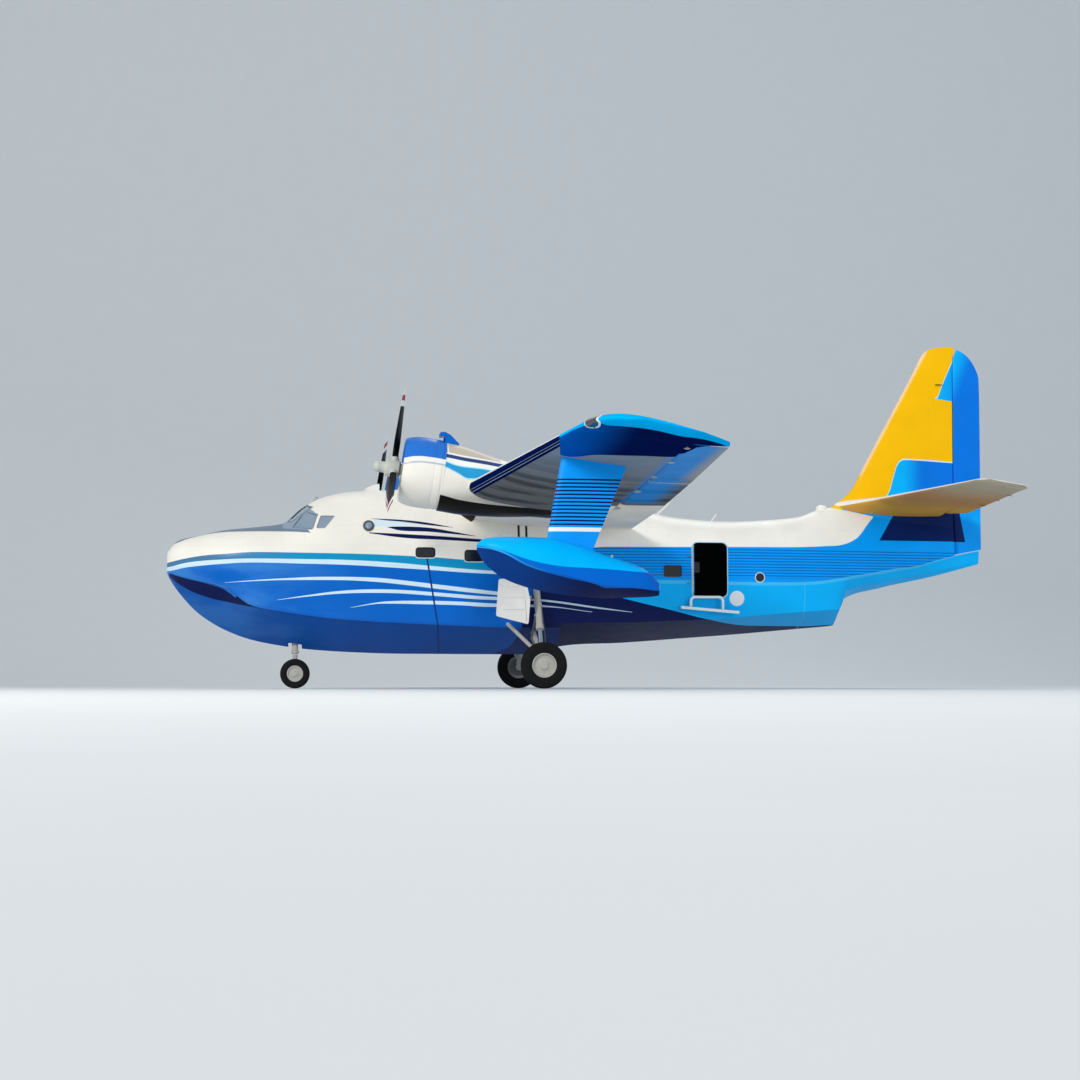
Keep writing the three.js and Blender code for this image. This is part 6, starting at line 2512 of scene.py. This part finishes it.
@dataclass
class Cabin:
    """The door leaf, the ladder, the seats and the panel."""

    finishes: Finishes
    hull: HullForm
    door: tuple[float, float, float, float, float]
    gap: float = 0.008
    inner: float = -1.078
    thick: float = 0.045

    def build(self) -> None:
        """Builds and dresses the cabin's contents."""
        self.leaf()
        self.ladder()
        self.cockpit()

    def leaf(self) -> None:
        """The door leaf, modelled shut and then swung open inwards."""
        start, end, low, high, corner = self.door
        outline = rounded((start + self.gap, low + self.gap), (end - self.gap, high - self.gap), corner)
        leaf = panelled(prism("door_leaf", outline, self.inner - self.thick, self.inner), 0.06, 0.006)
        middle, outer = (start + end) / 2, self.inner - self.thick * 0.5 - 0.024
        pane_outline = rounded((middle - 0.12, 2.72), (middle + 0.12, 2.98), 0.06)
        window = rim("window", pane_outline, lambda s, z, out: at(s, outer + out, z), 0.02, 0.004, 0.002)
        handle = tube("handle", [at(end - 0.12, self.inner - 0.04, z) for z in (2.55, 2.75)], 0.012, 12)
        piece = joined("door_leaf", [leaf, window, handle])
        hinge = placed(start + self.gap, self.inner, 0)
        swing = hinge @ ACROSS @ hinge.inverted()
        piece.data.transform(swing)
        paint = HullLivery().door(start + self.gap + 0.03)
        finished(piece, "cabin_door", "upper_paint", paint, "cabin_door")

    def ladder(self) -> None:
        """The white boarding ladder with its long step board."""
        low, high, y, top = 11.617, 12.341, -1.24, 2.036

        def foot(station: float) -> float:
            """The board's height at a station."""
            return mix(1.806, 1.695, (station - 11.39) / 1.313)

        bend = 0.09
        corner = [
            (low + bend - bend * math.sin(t), top - bend + bend * math.cos(t))
            for t in steps(math.pi / 2, 0, 6)
        ]
        other = [(low + high - s, z) for s, z in reversed(corner)]
        path = [(low, foot(low)), *corner, *other, (high, foot(high))]
        parts = [tube("frame", [at(s, y, z) for s, z in path], 0.03, 16)]
        for station in (low + 0.036, high - 0.036):
            for inner, z in ((-0.98, top - 0.03), (-1.0, foot(station))):
                parts.append(tube("stay", [at(station, y, z), at(station, inner, z)], 0.024, 14))
        outline = [(11.39, 1.774), (12.703, 1.663), (12.703, 1.727), (11.39, 1.838)]
        board = prism("board", outline, y - 0.075, y + 0.075)
        parts.append(bevelled(board, 0.012, 3))
        finish = self.finishes.ladder
        finished(joined("ladder_frame", parts), "airframe", "ladder_paint", finish, "boarding_ladder")
        treads = [
            block(
                "tread", at(s, y - 0.068, foot(s) + 0.026), at(s + 0.03, y + 0.068, foot(s) + 0.036), 0.003, 1
            )
            for s in steps(11.45, 12.6, 15)
        ]
        finished(joined("ladder_grip", treads), "airframe", "black_paint", self.finishes.black)

    def cockpit(self) -> None:
        """Two moulded seats on the deck, and the instrument panel with its dials."""
        deck = block("deck", at(2.70, -1.02, 2.52), at(4.54, 1.02, 2.56), 0.005)
        seats = []
        for hand in (-1, 1):
            y = hand * 0.48
            seats += [
                block("base", at(3.64, y - 0.17, 2.55), at(3.94, y + 0.17, 2.90), 0.02),
                block("pan", at(3.56, y - 0.24, 2.885), at(4.06, y + 0.24, 3.01), 0.05, 4),
                block("back", at(4.02, y - 0.24, 2.96), at(4.12, y + 0.24, 3.56), 0.045, 4),
                block("headrest", at(4.03, y - 0.14, 3.58), at(4.11, y + 0.14, 3.74), 0.035, 4),
                block("arm", at(3.66, y - 0.27, 3.15), at(4.04, y - 0.22, 3.19), 0.018, 3),
                block("arm", at(3.66, y + 0.22, 3.15), at(4.04, y + 0.27, 3.19), 0.018, 3),
            ]
        seats, lining = joined("seats_and_deck", [deck, *seats]), self.finishes.lining
        finished(seats, "airframe", "cockpit_green", lining, "cockpit_floor_and_seats")
        panel = [
            block("panel", at(2.86, -0.80, 3.08), at(2.96, 0.80, 3.48), 0.03, 3),
            block("pedestal", at(2.90, -0.18, 2.561), at(3.26, 0.18, 3.10), 0.03, 3),
        ]
        finished(joined("panel", panel), "airframe", "black_paint", self.finishes.black, "instrument_panel")
        face = ((0.0, 0.045), (0.006, 0.045), (0.008, 0.04), (0.002, 0.036), (0.002, 0.001))
        dials = [
            turned("dial", face, 20, placed(2.958, y, z))
            for y in (-0.66, -0.54, -0.42, -0.3, -0.06, 0.06, 0.3, 0.42, 0.54, 0.66) for z in (3.19, 3.32)
        ]
        finished(joined("dials", dials), "airframe", "gear_metal", self.finishes.steel)
        low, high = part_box("cabin_floor")
        boards = solid("floor_boards", [
            [
                Vector((x, side * (self.hull.width(x - NOSE, FLOOR + 0.02) - 0.085), z))
                for side, z in ((-1, low.z), (1, low.z), (1, high.z), (-1, high.z))
            ]
            for x in steps(low.x + 0.002, high.x - 0.002, 24)
        ])
        finished(boards, "airframe", "cockpit_green", self.finishes.primer, "cabin_floor")


@dataclass
class Fittings:
    """Antennas, lights, handles and the other small things on the hull."""

    finishes: Finishes
    hull: HullForm

    def build(self) -> None:
        """Builds and dresses the fittings."""
        roof = self.hull.roof
        fin_rows = (
            (4.35, 0.02, 0.0), (4.42, 0.03, 0.06), (4.55, 0.04, 0.12), (4.66, 0.04, 0.15), (4.72, 0.012, 0.15)
        )
        rings = []
        for s, width, height in fin_rows:
            foot = roof(s, 0) - 0.02
            rings.append([
                at(
                    s, width * math.cos(a) * (0.35 + 0.65 * math.sin(a / 2)),
                    foot + (height + 0.02) * math.sin(a / 2),
                )
                for a in turns(16)
            ])
        blade = solid("blade", rings)
        whips = []
        for s, rake, height in ((12.27, 0.13, 0.16), (11.02, 0.30, 0.27)):
            top = roof(s, 0.2)
            path = [at(s, -0.2, top - 0.02), at(s + rake, -0.2, top + height)]
            whips.append(tube("whip", path, (0.017, 0.012), 10))
        finished(joined("antennas", [blade, *whips]), "airframe", "black_paint", self.finishes.white)
        beacon = 14.9
        bump = solid("beacon_base", [
            [
                at(beacon + 0.13 * size * math.cos(a), 0.1 * size * math.sin(a), roof(beacon, 0) + h)
                for a in turns(28)
            ]
            for size, h in ((1.05, -0.05), (1.0, 0.03), (0.85, 0.07), (0.5, 0.09), (0.1, 0.098))
        ])
        finished(bump, "airframe", "upper_paint", self.finishes.cream)
        path = [at(s, y, 7.03) for s, y in ((17.60, -0.10), (17.62, -0.13), (17.76, -0.13))]
        probe = tube("probe", path, (0.012, 0.012, 0.008), 10)
        finished(probe, "airframe", "black_paint", self.finishes.black)
        handles, put = [], self.hull.on_side(-1)
        grip = ((11.56, -0.01), (11.56, 0.05), (11.60, 0.06), (11.62, 0.05), (11.62, -0.01))
        for z in (2.35, 2.95):
            handles.append(tube("handle", [put(s, z, out) for s, out in grip], 0.011, 10))
        # A small loop antenna stands over the windscreen
        place = placed(3.30, 0, roof(3.30, 0) + 0.03) @ ACROSS
        loop = turned("loop", circle((0.0, 0.035), 0.009, 10), 28, place, ring=True)
        finished(joined("handles", [*handles, loop]), "airframe", "gear_metal", self.finishes.steel)


@dataclass
class Stage:
    """The camera, the lights and the pale floor."""

    lens: float = 76.43
    yaw: float = math.radians(6.4)
    pitch: float = math.radians(3.571)
    eye: tuple[float, float, float] = (-6.763, -51.676, 0.12)
    daylight: float = 0.62

    def build(self) -> None:
        """Builds the stage."""
        self.camera()
        self.floor()
        self.lights()

    def camera(self) -> None:
        """The camera, where the photograph was taken from."""
        bpy.ops.object.camera_add(location=self.eye)
        camera = named(bpy.context.object, "camera")
        level = math.cos(self.pitch)
        ahead = Vector((math.sin(self.yaw) * level, math.cos(self.yaw) * level, math.sin(self.pitch)))
        camera.rotation_euler = ahead.to_track_quat("-Z", "Y").to_euler()
        camera.data.lens = self.lens
        camera.data.sensor_width = 36
        camera.data.clip_end = 600
        bpy.context.scene.camera = camera

    def floor(self) -> None:
        """A pale floor at the wheels that sweeps up into the backdrop."""
        rings = []
        flat, bend, top = ((-60, 0), (-20, 0), (0, 0), (30, 0)), 30, (60, 80)
        curve = [(bend + bend * math.sin(t), bend - bend * math.cos(t)) for t in steps(0.1, math.pi / 2, 14)]
        for y, z in (*flat, *curve, top):
            rings.append([Vector((x, y, z)) for x in (-240, -60, 0, 60, 240)])
        backdrop = sheet("backdrop", rings, closed=False)
        choose(backdrop)
        bpy.ops.object.shade_smooth()
        # Painted board: no highlight, so that only the shadow shows
        paint = Painter("matt_pale_studio_floor", Hue.STUDIO_FLOOR)
        paint.plain()
        backdrop.data.materials.append(paint.done(Gloss(0.75, coat=0.0, bump_mm=0.0), wear=0.01))

    def lights(self) -> None:
        """A broad key from the camera's side, a soft fill and a rim light."""
        for name, place, aim, power, size, hue in (
            ("key", (-34, -44, 26), (0, 0, 3), 17000, 12, Hue.KEY_LIGHT),
            ("fill", (34, -44, 12), (0, 0, 3), 6000, 22, Hue.FILL_LIGHT),
            ("rim", (10, 26, 30), (0, 0, 4), 2500, 18, Hue.RIM_LIGHT),
        ):
            bpy.ops.object.light_add(type="AREA", location=place)
            lamp = named(bpy.context.object, name)
            lamp.rotation_euler = (Vector(aim) - Vector(place)).to_track_quat("-Z", "Y").to_euler()
            lamp.data.energy, lamp.data.size = power, size
            lamp.data.color = linear(hue)[:3]
            lamp.visible_glossy = name != "fill"
        world = bpy.data.worlds.new("soft_daylight")
        world.use_nodes = True
        background = world.node_tree.nodes["Background"]
        background.inputs["Color"].default_value = linear(Hue.DAYLIGHT)
        background.inputs["Strength"].default_value = self.daylight
        bpy.context.scene.world = world
        bpy.context.scene.view_settings.view_transform = "Standard"


def main() -> None:
    """Builds every assembly in turn."""
    logging.basicConfig(level=logging.INFO, format="%(name)s: %(message)s")
    finishes = Finishes()
    hull = Hull(finishes)
    for assembly in (
        hull, Wing(finishes), Engines(finishes), Floats(finishes), Tail(finishes), Gear(finishes),
        Cabin(finishes, hull.form, hull.door), Fittings(finishes, hull.form), Stage(),
    ):
        assembly.build()
        log.info("%s is built", type(assembly).__name__)
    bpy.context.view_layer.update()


if __name__ == "__main__":
    main()
